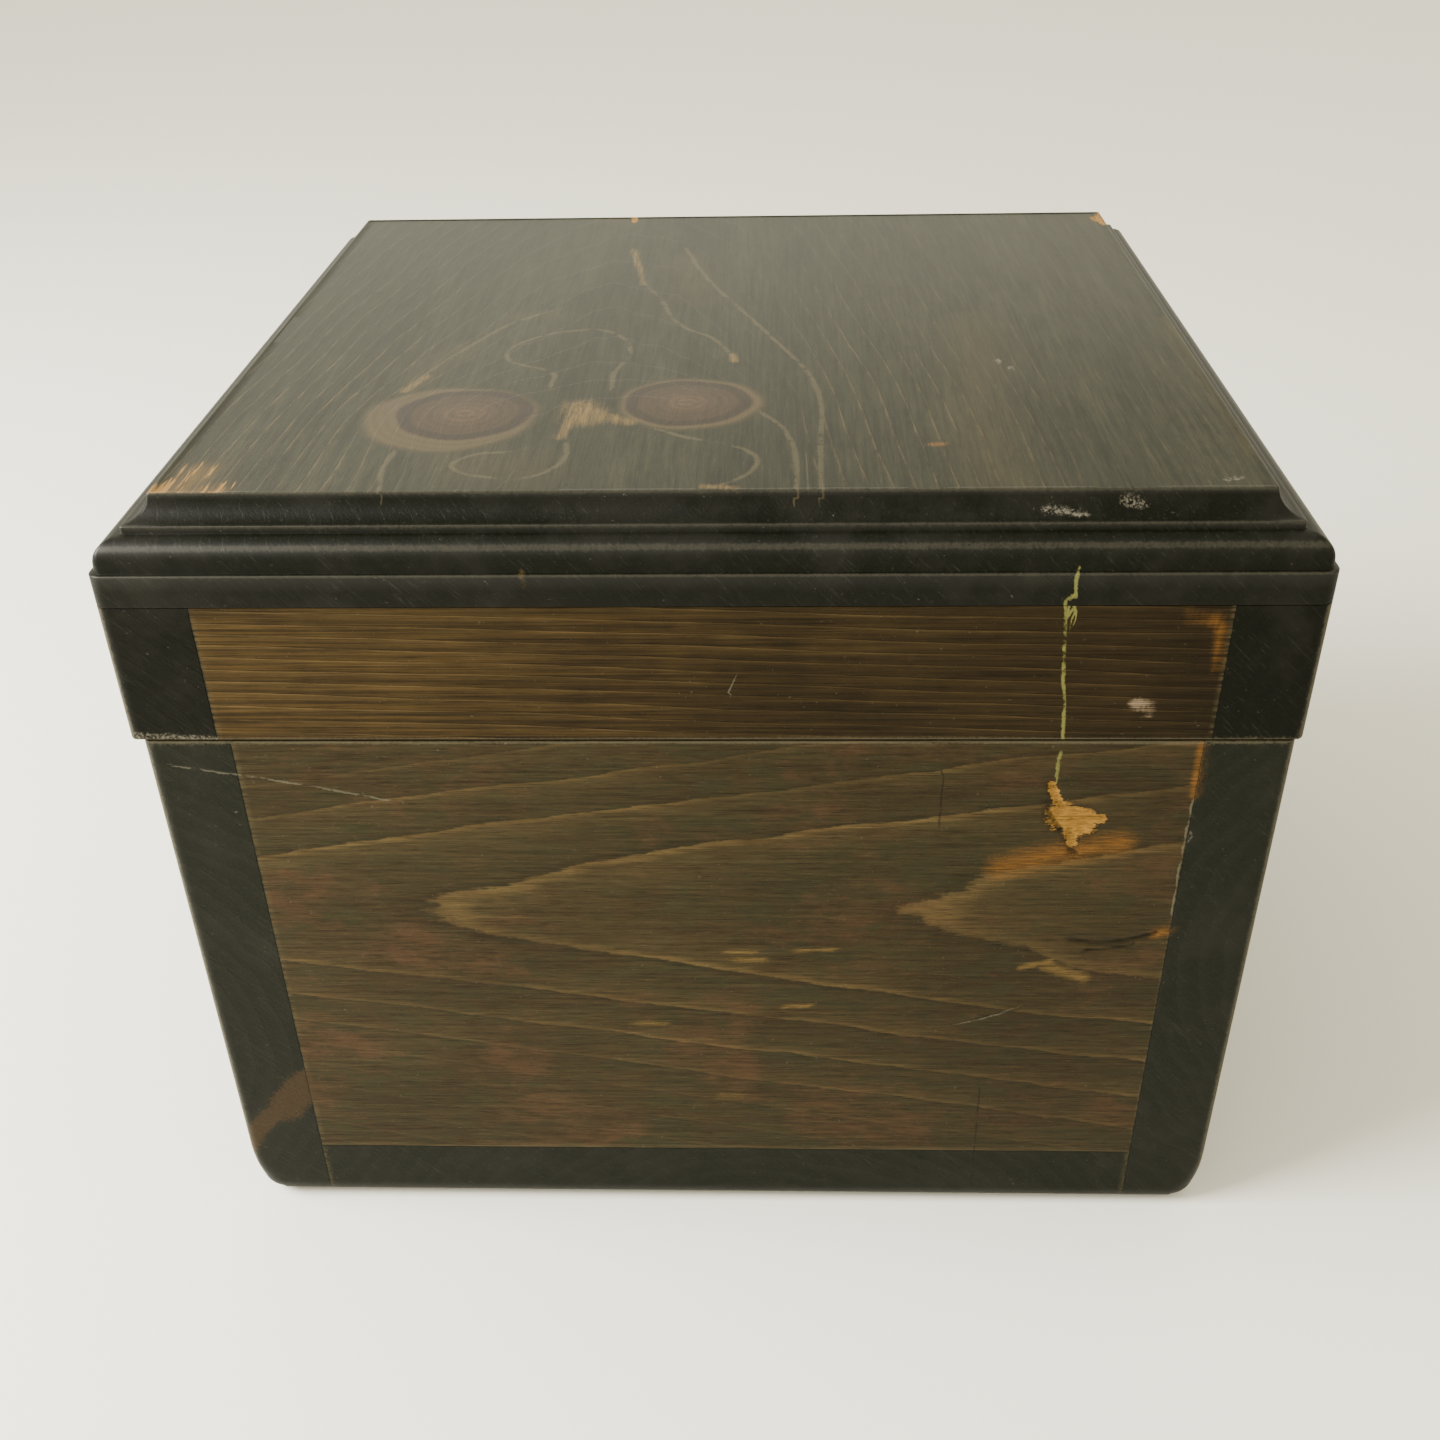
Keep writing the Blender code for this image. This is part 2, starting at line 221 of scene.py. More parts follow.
class Finish:
    """One material: its node tree, and the one method that adds a node to it."""

    def __init__(self, name):
        self.material = bpy.data.materials.new(name)
        self.material.use_nodes = True
        self.tree = self.material.node_tree
        self.tree.nodes.clear()
        place = self.node("ShaderNodeTexCoord", output="Object")
        scaled = self.node(
            "ShaderNodeVectorMath", {"operation": "SCALE"}, {"Vector": place, "Scale": 1 / MM})
        parts = self.tree.nodes.new("ShaderNodeSeparateXYZ")
        self.tree.links.new(scaled.socket, parts.inputs[0])
        self.place = scaled
        self.axes = tuple(Signal(self, socket) for socket in parts.outputs)

    def node(self, kind, settings=None, inputs=None, output=0):
        """Adds a node: settings first, then its sockets' values or links."""
        made = self.tree.nodes.new(kind)
        for key, value in (settings or {}).items():
            setattr(made, key, value)
        for key, value in (inputs or {}).items():
            socket = made.inputs[key]
            if isinstance(value, Signal):
                self.tree.links.new(value.socket, socket)
            elif hasattr(value, "__len__"):
                values = tuple(value)
                socket.default_value = values + (1.0,) * (len(socket.default_value) - len(values))
            else:
                socket.default_value = value
        return Signal(self, made.outputs[output]) if made.outputs else None

    def mix(self, share, first, second):
        """Two colours mixed by a share from 0 to 1."""
        return self.node(
            "ShaderNodeMix", {"data_type": "RGBA"}, {"Factor": share, 6: first, 7: second},
            output=2)

    def tinted(self, colour, gain):
        """A colour made lighter or darker by a gain that varies round 1."""
        return self.node(
            "ShaderNodeVectorMath", {"operation": "SCALE"}, {"Vector": colour, "Scale": gain})

    def vector(self, x, y, z):
        return self.node("ShaderNodeCombineXYZ", None, {0: x, 1: y, 2: z})

    def field(self, name):
        """A value worked out for each vertex and kept in the mesh under a name."""
        return self.node("ShaderNodeAttribute", {"attribute_name": name}, output="Fac")

    def noise(self, vector, scale=1.0, detail=2.0, roughness=0.5, distortion=0.0):
        return self.node(
            "ShaderNodeTexNoise", None,
            {"Vector": vector, "Scale": scale, "Detail": detail,
             "Roughness": roughness, "Distortion": distortion},
        )

    def stretched(self, grain, along, across):
        """Noise coordinates squeezed so that the pattern runs along one axis."""
        scaled = [axis * across for axis in self.axes]
        scaled[grain] = self.axes[grain] * along
        return self.vector(*scaled)

    def surface(self, colour, roughness, height, relief, **constants):
        """The Principled shader and its bump; relief is the height's depth in millimetres."""
        bump = self.node(
            "ShaderNodeBump", None,
            {"Strength": 1.0, "Distance": relief * MM, "Height": height},
            output="Normal",
        )
        sockets = {"Base Color": colour, "Roughness": roughness, "Normal": bump}
        sockets.update({key.replace("_", " "): value for key, value in constants.items()})
        shader = self.node("ShaderNodeBsdfPrincipled", None, sockets)
        self.node("ShaderNodeOutputMaterial", None, {"Surface": shader})
        return self.material


def set_stops(ramp, stops):
    """Puts (position, colour) stops on a colour ramp."""
    while len(ramp.elements) < len(stops):
        ramp.elements.new(1.0)
    for element, (position, colour) in zip(ramp.elements, stops):
        element.position = position
        element.color = (*colour, 1.0)


# Fields: smooth values at every vertex, from which the shaders cut crisp marks


def waves(points, lengths, seed, count=5):
    """A slow swell from -1 to 1: the mean of sine waves in seeded directions.

    lengths holds the swell's wavelength along X, Y and Z in millimetres.
    """
    dice = np.random.default_rng(seed)
    directions = dice.normal(size=(count, 3)) / np.array(lengths)
    offsets = dice.uniform(0, 2 * np.pi, count)
    return np.sin(2 * np.pi * points @ directions.T + offsets).mean(axis=1)


def path_distance(places, path):
    """Shortest distance from each 2-D place to a path of straight stretches."""
    shortest = np.full(len(places), np.inf)
    for start, end in zip(path[:-1], path[1:]):
        run = np.subtract(end, start).astype(float)
        share = ((places - start) @ run / (run @ run)).clip(0, 1)
        offset = places - start - share[:, None] * run
        shortest = np.minimum(shortest, np.hypot(offset[:, 0], offset[:, 1]))
    return shortest


def stroke(places, path, half_width):
    """1 on the path, a half at its half width and 0 at twice that."""
    return (1 - path_distance(places, path) / (2 * half_width)).clip(0, 1)


def rounded_path(path):
    """A path with each bend cut twice at its quarter points, which makes it a curve."""
    for _ in range(2):
        points = np.array(path, float)
        first = 0.75 * points[:-1] + 0.25 * points[1:]
        second = 0.25 * points[:-1] + 0.75 * points[1:]
        inner = np.stack((first, second), axis=1).reshape(-1, 2)
        path = np.concatenate((points[:1], inner, points[-1:]))
    return path


# Marks on the front, as (x, height) paths with half widths
FRONT_MARKS = (
    ("raw", ((73.2, 131.0), (75.0, 126.5), (77.5, 122.5)), 0.9),
    ("raw", ((76.2, 123.0), (80.8, 121.2)), 3.1),
    ("raw", ((80.5, 122.2), (85.0, 122.0)), 1.0),
    ("raw", ((78.3, 119.4), (79.2, 115.6)), 1.2),
    ("dark", ((72.6, 126.5), (73.6, 122.5), (76.4, 119.0)), 0.7),
    ("dark", ((78.9, 113.8), (80.0, 113.0)), 0.8),
    ("dark", ((81.5, 88.3), (88.0, 87.2), (95.0, 88.2), (101.0, 90.4)), 0.7),
    ("dark", ((85.5, 85.2), (91.0, 85.6), (96.5, 86.8)), 0.5),
    ("orange", ((64.0, 109.0), (73.0, 112.0), (82.0, 114.0), (90.0, 116.0)), 3.0),
    ("orange", ((100.8, 90.2), (103.0, 91.0)), 1.4),
    ("orange", ((74.0, 113.0), (84.0, 114.4)), 2.2),
    ("blush", ((-80.0, 170.6), (-52.0, 171.2), (-40.0, 170.8)), 2.2),
    ("orange", ((96.0, 171.8), (103.0, 170.8), (103.9, 160.0)), 1.1),
    ("orange", ((103.4, 141.0), (103.6, 128.0)), 0.8),
    ("worn", ((-122.5, 18.0), (-119.0, 25.0), (-113.0, 31.0), (-103.5, 43.5)), 2.4),
    ("worn", ((-110.0, 33.0), (-105.0, 39.0)), 4.2),
    ("tan", ((4.0, 82.0), (12.0, 82.0)), 0.7),
    ("tan", ((3.0, 84.6), (9.0, 84.4)), 0.5),
    ("tan", ((18.5, 84.8), (28.0, 85.3)), 0.5),
    ("tan", ((-20.0, 62.0), (-11.0, 62.0)), 0.6),
    ("tan", ((16.0, 67.6), (23.0, 68.2)), 0.6),
    ("tan", ((1.0, 39.0), (6.0, 39.2)), 0.9),
    ("tan", ((77.0, 80.5), (86.0, 77.0)), 1.4),
    ("tan", ((71.0, 80.0), (78.0, 82.0)), 0.7),
    ("chip", ((88.4, 151.0), (91.6, 149.7)), 1.5),
    ("pale", ((-123.4, 143.4), (-114.0, 142.9), (-106.0, 142.6)), 0.9),
    ("tan", ((-36.4, 181.5), (-36.3, 178.5)), 0.3),
)

# Marks on the top, as (x, distance from the front) paths with half widths
TOP_MARKS = (
    ("tan", ((-30.0, 60.0), (-29.0, 52.0)), 3.6),
    ("tan", ((-26.5, 56.5), (-25.5, 52.5)), 2.8),
    ("tan", ((-23.5, 54.0), (-18.5, 50.0)), 1.8),
    ("tan", ((-31.5, 52.0), (-32.4, 41.0)), 1.0),
    ("tan", ((-72.0, 71.0), (-69.0, 81.0)), 1.0),
    ("tan", ((-27.5, 189.0), (-26.0, 178.0), (-23.8, 168.0)), 0.9),
    ("tan", ((-24.2, 170.0), (-22.2, 154.0)), 0.6),
    ("tan", ((3.4, 95.0), (4.2, 90.0)), 0.9),
    ("tan", ((0.0, 14.0), (5.5, 13.2)), 1.0),
    ("blush", ((-49.5, 27.0), (-38.0, 23.0)), 7.0),
    ("blush", ((-69.5, 78.0), (-66.5, 90.0), (-63.5, 102.0)), 3.4),
    ("blush", ((-53.0, 127.0), (-45.0, 128.0)), 2.6),
    ("blush", ((-12.0, 178.0), (-8.0, 160.0), (-6.0, 140.0)), 4.0),
    ("blush", ((-39.0, 224.0), (-32.0, 220.0)), 3.0),
    ("blush", ((-107.0, 19.0), (-105.0, 25.0)), 5.0),
    ("blush", ((111.0, 216.0), (112.0, 222.0)), 3.5),
    ("blush", ((113.0, 120.0), (113.5, 60.0), (112.5, 30.0)), 1.6),
    ("blush", ((64.0, 118.0), (61.0, 84.0), (58.0, 50.0), (59.0, 16.0)), 5.5),
    ("raw", ((-30.0, 228.0), (-29.6, 221.0)), 0.9),
    ("frayed", ((-112.0, 12.0), (-100.0, 12.5)), 4.0),
    ("frayed", ((-107.0, 13.0), (-105.5, 24.0)), 3.4),
    ("raw", ((109.5, 214.0), (110.5, 220.0)), 0.7),
    ("raw", ((112.8, 212.0), (113.2, 225.0)), 0.8),
    ("dark", ((41.0, 35.6), (46.0, 35.8)), 0.5),
    ("orange", ((46.2, 35.7), (49.0, 36.0)), 1.0),
    ("pale", ((69.0, 84.5), (67.6, 76.0)), 0.7),
    ("pale", ((67.0, 90.0), (66.6, 87.0)), 0.6),
    # Painted glint: a pale stroke on the cove at the front edge paints a highlight
    ("pale", ((67.0, 10.0), (75.0, 9.0)), 1.0),
    ("pale", ((104.0, 16.0), (107.0, 17.0)), 1.2),
    # Painted glint: a pale stroke on the cove at the front edge paints a highlight
    ("pale", ((83.0, 11.0), (87.0, 10.4)), 0.8),
)

# Thin lines, as paths: drips, scratches and fine cracks on the front, pale loops on top
FRONT_LINES = (
    ("drip", ((71.0, 180.0), (72.0, 170.0), (72.6, 160.0), (73.9, 150.0), (74.5, 141.0))),
    ("drip", ((73.3, 180.0), (73.6, 171.5))),
    ("drip", ((74.4, 142.0), (73.9, 132.5))),
    ("scratch", ((-116.0, 135.6), (-92.0, 131.6), (-69.0, 126.4))),
    ("scratch", ((103.9, 127.0), (103.4, 112.0), (103.8, 95.0))),
    ("scratch", ((105.0, 118.0), (106.6, 108.0))),
    ("scratch", ((5.4, 156.6), (4.7, 155.2))),
    ("scratch", ((58.5, 62.6), (64.0, 64.2), (70.5, 67.4))),
    ("crack", ((64.6, 41.0), (64.9, 8.0))),
    ("crack", ((50.0, 134.0), (49.8, 121.0))),
    ("crack", ((60.0, 63.4), (65.0, 65.4), (71.5, 67.2))),
)
TOP_LINES = (
    ("loop", ((-31.0, 40.0), (-29.5, 27.0), (-37.0, 17.5), (-50.0, 20.5), (-55.0, 26.5),
              (-49.5, 32.5), (-44.0, 33.0))),
    ("loop", ((-11.0, 45.0), (-5.0, 40.5), (7.0, 35.0), (11.0, 28.0), (8.0, 19.0), (1.0, 13.5))),
    ("loop", ((-38.5, 74.0), (-38.0, 84.0), (-50.5, 90.0), (-52.5, 99.0), (-48.0, 108.0),
              (-39.5, 114.5), (-29.0, 116.0), (-22.5, 106.0), (-21.0, 94.0), (-24.5, 84.0),
              (-24.0, 72.0))),
    ("loop", ((-71.5, 72.0), (-69.0, 84.0), (-64.0, 98.0), (-60.0, 108.0), (-54.0, 122.0),
              (-44.0, 132.0))),
    ("loop", ((-22.0, 155.0), (-16.0, 140.0), (-13.0, 124.0), (-8.0, 114.0), (-1.0, 108.0),
              (4.0, 92.0))),
    ("loop", ((-12.0, 190.0), (-5.0, 158.0), (4.0, 134.0), (15.0, 102.0), (22.0, 82.0),
              (24.5, 62.0), (23.5, 38.0), (23.0, 12.5))),
    ("loop", ((11.0, 55.0), (16.0, 46.0), (18.5, 30.0), (18.0, 12.5))),
    ("loop", ((-67.0, 33.0), (-68.0, 24.0), (-66.0, 13.0))),
)

# Knots of the top board: (x, distance from the front), radius of the heart, then the halo
KNOTS = (
    ((-55.6, 55.8), 15.6, (-58.6, 53.4), 20.0),
    ((-6.0, 62.0), 14.6, (-5.4, 61.6), 16.6),
)
# How far a knot pushes the growth rings aside
KNOT_PUSH = 7.0


def mark_fields(places, marks, on_face):
    """For each kind of mark, how far inside its strokes each place lies, on one face."""
    fields = {}
    for kind, path, half_width in marks:
        curve = rounded_path(path) if len(path) > 2 else path
        depth = stroke(places, curve, half_width) * on_face
        if depth.max() > 0.2:
            fields[kind] = np.maximum(fields.get(kind, 0.0), depth)
    return fields


def line_fields(places, lines, on_face):
    """For each kind of thin line, its signed distance and how near its paths run.

    The distance changes sign across a path, so it stays exact between grid points, and
    the nearness fades from 1 beside a path to 0 where the sign flips for other reasons.
    """
    fields = {}
    for kind in sorted({kind for kind, _ in lines}):
        best = np.full(len(places), 9.0)
        for path in (path for name, path in lines if name == kind):
            curve = rounded_path(path) if len(path) > 2 else np.array(path, float)
            for start, end in zip(curve[:-1], curve[1:]):
                run = end - start
                share = ((places - start) @ run / (run @ run)).clip(0, 1)
                offset = places - start - share[:, None] * run
                distance = np.hypot(offset[:, 0], offset[:, 1])
                side = np.where(run[0] * offset[:, 1] < run[1] * offset[:, 0], -1.0, 1.0)
                best = np.where(distance < np.abs(best), side * distance, best)
        near = (2.6 - np.abs(best)).clip(0, 1) * on_face
        if near.max() > 0.5:
            fields[kind + "_gap"] = best
            fields[kind + "_near"] = near
    return fields


class Rings:
    """Growth rings of one board: how far each point lies from a leaning pith.

    The pith runs roughly along the grain. Across the board it starts at centre and moves
    by slant for each millimetre; it lies depth outside the face and nears it by lean.
    flare spreads the rings along the board, and width is one year's growth. The tan
    lines weaken from the first to the second distance in fade, measured past depth.
    """

    def __init__(self, centre, depth, width, lean=0.0, slant=0.0, flare=0.0, start=0.0,
                 wander=0.12, seed=1, fade=(60.0, 200.0)):
        self.centre = centre
        self.depth = depth
        self.width = width
        self.lean = lean
        self.slant = slant
        self.flare = flare
        self.start = start
        self.wander = wander
        self.seed = seed
        self.fade = fade

    def count(self, points, board, face_depth):
        """Years from the pith: the distance from it over the width, and a slow wander."""
        along = points[:, board.grain] - self.start
        across = (points[:, board.across] - self.centre - self.slant * along)
        across = across / (1 + self.flare * along)
        inward = self.depth + self.lean * along + face_depth
        lengths = [14.0, 14.0, 14.0]
        lengths[board.grain] = 90.0
        swell = waves(points, lengths, self.seed)
        broad = waves(points, [3 * length for length in lengths], self.seed + 50)
        return (np.hypot(across, inward) - self.depth) / self.width + self.wander * (swell + 2 * broad)


class Board:
    """One board: its node and body, its slot, the run of its grain, its face and rings."""

    def __init__(self, node, body, slot, grain, across, face, tone, rings, rolled=None, snug=()):
        self.node = node
        self.body = body
        self.slot = slot
        self.grain = grain
        self.across = across
        self.face = face
        self.tone = tone
        self.rings = rings
        self.rolled = rolled or {}
        self.snug = snug


def side_edges(side, body):
    """The rolled edges of a side board: upright corners, then foot or rim."""
    edges = {(side, "front"): "corner", (side, "back"): "corner"}
    rim = "head" if body == "base" else "foot"
    edges.update({(side, rim): "rim", ("front", rim): "rim", ("back", rim): "rim"})
    if body == "base":
        edges.update({(side, "foot"): "foot", ("front", "foot"): "foot", ("back", "foot"): "foot"})
    return edges


ENDS = ("left", "right")
BOARDS = (
    Board("base_front", "base", "brown_stain", X, Z, "front", "front_stain",
          Rings(96.5, 30.0, 6.5, lean=-0.0604, flare=0.003, start=-67.0, wander=0.045, seed=3,
                fade=(-4.0, 27.0)),
          {("front", "head"): "rim"}, ENDS + ("foot",)),
    Board("base_back", "base", "brown_stain", X, Z, "back", "front_stain",
          Rings(60.0, 44.0, 5.6, lean=0.07, flare=-0.001, slant=0.03, wander=0.2, seed=11),
          {("back", "head"): "rim"}, ENDS + ("foot",)),
    Board("base_left_side", "base", "dark_stain", Y, Z, "left", "front_stain",
          Rings(48.0, 52.0, 4.6, lean=0.10, slant=-0.05, wander=0.2, seed=17),
          side_edges("left", "base")),
    Board("base_right_side", "base", "dark_stain", Y, Z, "right", "front_stain",
          Rings(88.0, 38.0, 5.2, lean=-0.08, slant=0.03, wander=0.2, seed=23),
          side_edges("right", "base")),
    Board("base_bottom", "base", "dark_stain", Y, X, "foot", "dark_stain",
          Rings(12.0, 60.0, 4.8, lean=0.06, wander=0.2, seed=29),
          {("front", "foot"): "foot", ("back", "foot"): "foot"}, ENDS),
    Board("lid_front", "lid", "brown_stain", X, Z, "front", "lid_stain",
          Rings(-60.0, 26.0, 2.9, slant=-0.034, wander=0.22, seed=31, fade=(300.0, 400.0)),
          {("front", "foot"): "rim"}, ENDS + ("head",)),
    Board("lid_back", "lid", "brown_stain", X, Z, "back", "lid_stain",
          Rings(240.0, 30.0, 3.0, slant=0.03, wander=0.25, seed=37),
          {("back", "foot"): "rim"}, ENDS + ("head",)),
    Board("lid_left_side", "lid", "dark_stain", Y, Z, "left", "lid_stain",
          Rings(120.0, 34.0, 3.4, slant=0.04, wander=0.2, seed=41),
          side_edges("left", "lid"), ("head",)),
    Board("lid_right_side", "lid", "dark_stain", Y, Z, "right", "lid_stain",
          Rings(150.0, 22.0, 4.0, lean=0.08, slant=0.03, wander=0.2, seed=43),
          side_edges("right", "lid"), ("head",)),
    Board("lid_top", "lid", "top_stain", Y, X, "head", "top_stain",
          Rings(-27.0, 40.0, 4.0, lean=0.165, start=60.0, wander=0.16, seed=47)),
)


# Grids


def rolled_lines(radius):
    """Distances from a face at which grid lines fall on equal angles of a rolled edge."""
    steps = 2 + int(radius)
    turns = np.linspace(0.0, math.pi / 4, steps + 1)
    return np.append(radius * (1 - np.tan(turns)), radius * 1.08 + 0.15)


def axis_lines(low, high, step, low_radii, high_radii, fine):
    """Grid lines along one axis: even, closer in the fine spans, and fitted to the edges."""
    near = np.concatenate([low + rolled_lines(radius) for radius in low_radii])
    far = np.concatenate([high - rolled_lines(radius) for radius in high_radii])
    inner = np.linspace(near.max(), far.min(), max(2, round((far.min() - near.max()) / step)))
    close = [
        np.arange(max(start, near.max()), min(end, far.min()), spacing)
        for start, end, spacing in fine
        if start < far.min() and end > near.max()
    ]
    for start, end, _ in fine:
        inner = inner[(inner < start) | (inner > end)]
    lines = np.unique(np.round(np.concatenate([near, far, inner] + close), 4))
    return lines[np.append(np.diff(lines) > 0.02, True)]


def grid_box(lines):
    """The outside of a box cut by planes at the given lines: points, and quads facing out."""
    index = np.full([len(line) for line in lines], -1)
    shell = np.zeros(index.shape, bool)
    shell[[0, -1]] = True
    shell[:, [0, -1]] = True
    shell[:, :, [0, -1]] = True
    index[shell] = np.arange(shell.sum())
    points = np.stack(np.meshgrid(*lines, indexing="ij"), axis=-1)[shell]
    quads = []
    for axis, end in FACES.values():
        sheet = np.take(index, -end, axis)
        corners = (sheet[:-1, :-1], sheet[1:, :-1], sheet[1:, 1:], sheet[:-1, 1:])
        quad = np.stack(corners, axis=-1).reshape(-1, 4)
        faces_out = (end == 1) != (axis == Y)
        quads.append(quad if faces_out else quad[:, ::-1])
    return points, np.concatenate(quads)


def roll_edge(points, corners, first, second, radius):
    """Draws what lies beyond a rolled edge back onto an arc of the radius."""
    pair = [FACES[first], FACES[second]]
    axes = [axis for axis, _ in pair]
    signs = np.array([2 * end - 1 for _, end in pair])
    reach = np.broadcast_to(radius, len(points))[:, None]
    centre = np.array([corners[end][axis] for axis, end in pair]) - signs * reach
    outward = (points[:, axes] - centre) * signs
    length = np.hypot(outward[:, 0], outward[:, 1])
    beyond = (outward > 0).all(axis=1) & (length > reach[:, 0])
    shrunk = centre + signs * outward * reach / np.maximum(length, 1e-9)[:, None]
    for column, axis in enumerate(axes):
        points[beyond, axis] = shrunk[beyond, column]


def roll_ball(points, corners, names, radius):
    """Draws what lies beyond a ball in a corner of the box back onto that ball."""
    signs = np.array([2 * FACES[name][1] - 1 for name in names])
    centre = np.array([corners[FACES[name][1]][axis] for axis, name in enumerate(names)])
    outward = (points - centre + signs * radius) * signs
    length = np.sqrt((outward ** 2).sum(axis=1))
    beyond = (outward > 0).all(axis=1) & (length > radius)
    shrunk = centre - signs * radius + signs * outward * radius / length.clip(1e-9)[:, None]
    points[beyond] = shrunk[beyond]


def edge_radii(board):
    """The radius of each of a board's twelve edges, by its pair of faces."""
    radii = {"rim": RIM_EASE, "corner": sizes().corner_radius / MM,
             "foot": sizes().foot_radius / MM}
    pairs = [(a, b) for a in FACES for b in FACES if FACES[a][0] < FACES[b][0]]
    result = {}
    for pair in pairs:
        kind = board.rolled.get(pair) or board.rolled.get(pair[::-1])
        result[pair] = radii[kind] if kind else SHARP_EASE
    return result


# Spans of closer grid lines where small marks lie: start, end, spacing
FINE_SPANS = {
    "base_front": {X: ((57.0, 104.0, 0.8),), Z: ((60.0, 92.0, 0.9), (108.0, 132.0, 0.7))},
    "lid_front": {X: ((68.0, 77.0, 0.8), (86.0, 104.0, 1.0))},
    "base_left_side": {Z: ((20.0, 46.0, 1.2), (125.0, 137.0, 0.6))},
    "lid_left_side": {Z: ((142.0, 148.0, 0.8),)},
}


def board_grid(board):
    """The board's grid before and after its edges are rolled, its quads and its corners."""
    low, high = node_box(board.node)
    for name in board.snug:
        axis, end = FACES[name]
        (low, high)[end][axis] += (2 * end - 1) * JOINT_CLOSE
    radii = edge_radii(board)
    lines = []
    for axis in (X, Y, Z):
        touching = [
            {radius for pair, radius in radii.items() if (axis, end) in (FACES[pair[0]], FACES[pair[1]])}
            for end in (0, 1)
        ]
        fine = FINE_SPANS.get(board.node, {}).get(axis, ())
        lines.append(axis_lines(
            low[axis], high[axis], sizes().board_grid / MM, touching[0], touching[1], fine))
    flat, quads = grid_box(lines)
    points = flat.copy()
    blend = ((FOOT_BLEND_TOP - flat[:, Z]) / FOOT_BLEND_SPAN).clip(0, 1) ** 2
    for _ in range(2):
        for (first, second), radius in radii.items():
            if board.rolled.get((first, second)) == "corner" and board.body == "base":
                radius = radius + FOOT_BALL * blend
            roll_edge(points, (low, high), first, second, radius)
    for end in ("front", "back"):
        if board.body == "base" and board.face in ("left", "right"):
            roll_ball(points, (low, high), (board.face, end, "foot"), BALL_RADIUS)
    return flat, points, quads, (low, high), radii


def depth_in_body(points, body):
    """Distance in from the body's outer faces; the side where the lid and base meet is open."""
    low, high = body_box(body)
    upright = high[Z] - points[:, Z] if body == "lid" else points[:, Z] - low[Z]
    return np.min((
        points[:, X] - low[X], high[X] - points[:, X],
        points[:, Y] - low[Y], high[Y] - points[:, Y], upright), axis=0)


def arris_wear_and_highlight(flat, corners, radii):
    """1 along the board's outer rolled edges, fading over about a millimetre and a half: where pale wear
    and a painted highlight go.
    """
    wear = np.zeros(len(flat))
    for pair, radius in radii.items():
        if radius == SHARP_EASE:
            continue
        gaps = [abs(flat[:, FACES[name][0]] - corners[FACES[name][1]][FACES[name][0]])
                for name in pair]
        wear = np.maximum(wear, np.exp(-(np.hypot(*gaps) / (0.7 + 0.5 * radius)) ** 2))
    return wear


def sink_marks(points, fields, face):
    """Presses slits and the torn chip into a face, deeper towards their middles."""
    axis, end = FACES[face]
    inward = 1 - 2 * end
    hollow = 0.8 * (fields.get("raw", 0.0) - 0.35) / 0.65
    slit = 0.7 * (fields.get("dark", 0.0) - 0.3) / 0.7
    torn = 0.25 * waves(points, [3.0, 3.0, 3.0], 5)
    press = np.maximum(hollow + torn * (hollow > 0.05), slit)
    points[:, axis] += inward * np.maximum(press, 0.0)


def write_mesh(name, points, faces, fields, material, smooth=True):
    """A mesh object at the origin, from points in millimetres, quads and fields."""
    mesh = bpy.data.meshes.new(name)
    mesh.from_pydata((points * MM).tolist(), [], faces.tolist())
    for key, values in fields.items():
        layer = mesh.attributes.new(key, "FLOAT", "POINT")
        layer.data.foreach_set("value", np.broadcast_to(values, len(points)).astype(np.float32))
    mesh.materials.append(material)
    if smooth:
        mesh.shade_smooth()
    mesh.update()
    piece = bpy.data.objects.new(name, mesh)
    bpy.context.scene.collection.objects.link(piece)
    return piece


def place_piece(piece, body, slot, *nodes):
    """Hands a finished piece to its body and hides the nodes that it stands for; slot is not used."""
    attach(piece, body)
    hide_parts(*nodes)


def make_board(board):
    """One board: a rolled grid with slow hollows, pressed marks and its fields."""
    flat, points, quads, corners, radii = board_grid(board)
    axis, end = FACES[board.face]
    face_depth = abs(flat[:, axis] - corners[end][axis])
    fields = {
        "rings": board.rings.count(flat, board, face_depth),
        "end_grain": end_grain(flat, corners, board.grain),
        "bare": bare_share(flat, board.body),
        "wear": arris_wear_and_highlight(flat, corners, radii),
    }
    front = node_box(board.node)[0][Y]
    on_front = (flat[:, Y] < front + 0.4).astype(float)
    marks = mark_fields(flat[:, [X, Z]], FRONT_MARKS, on_front)
    marks.update(line_fields(flat[:, [X, Z]], FRONT_LINES, on_front))
    fields["late"] = late_share(fields["rings"], board)
    fields["joint"] = joint_line(flat, corners, board)
    hollow = sizes().hand_planed / MM * (0.5 + 0.5 * waves(flat, (70.0, 70.0, 70.0), board.rings.seed))
    inner = (face_depth == 0) & (fields["wear"] < 0.02)
    points[inner, axis] += (1 - 2 * end) * hollow[inner]
    if marks and board.face == "front":
        sink_marks(points, marks, "front")
    fields.update(marks)
    finish = stained_pine(board, marks)
    piece = write_mesh(board.node + "_board", points, quads, fields, finish)
    place_piece(piece, board.body, board.slot, board.node)


def late_share(years, board):
    """How strongly the tan lines show, weaker far from the pith."""
    start, end = board.rings.fade
    past = np.abs(years) * board.rings.width
    return 1 - 0.85 * ((past - start) / (end - start)).clip(0, 1)


def joint_line(points, corners, board):
    """1 at the glued edges of a board, fading within a millimetre."""
    joint = np.zeros(len(points))
    for name in set(board.snug) - {"head"}:
        axis, end = FACES[name]
        gap = np.abs(points[:, axis] - corners[end][axis])
        joint = np.maximum(joint, np.exp(-(gap / 0.5) ** 2))
    return joint


def end_grain(points, corners, grain):
    """1 on the two faces across the grain, fading within half a millimetre."""
    low, high = corners
    gap = np.minimum(points[:, grain] - low[grain], high[grain] - points[:, grain])
    return (1.2 - gap / 0.4).clip(0, 1)


# How far the stain laps over the rims, and the span in which it ends
STAIN_LAP = 7.0
BARE_FADE = 8.0


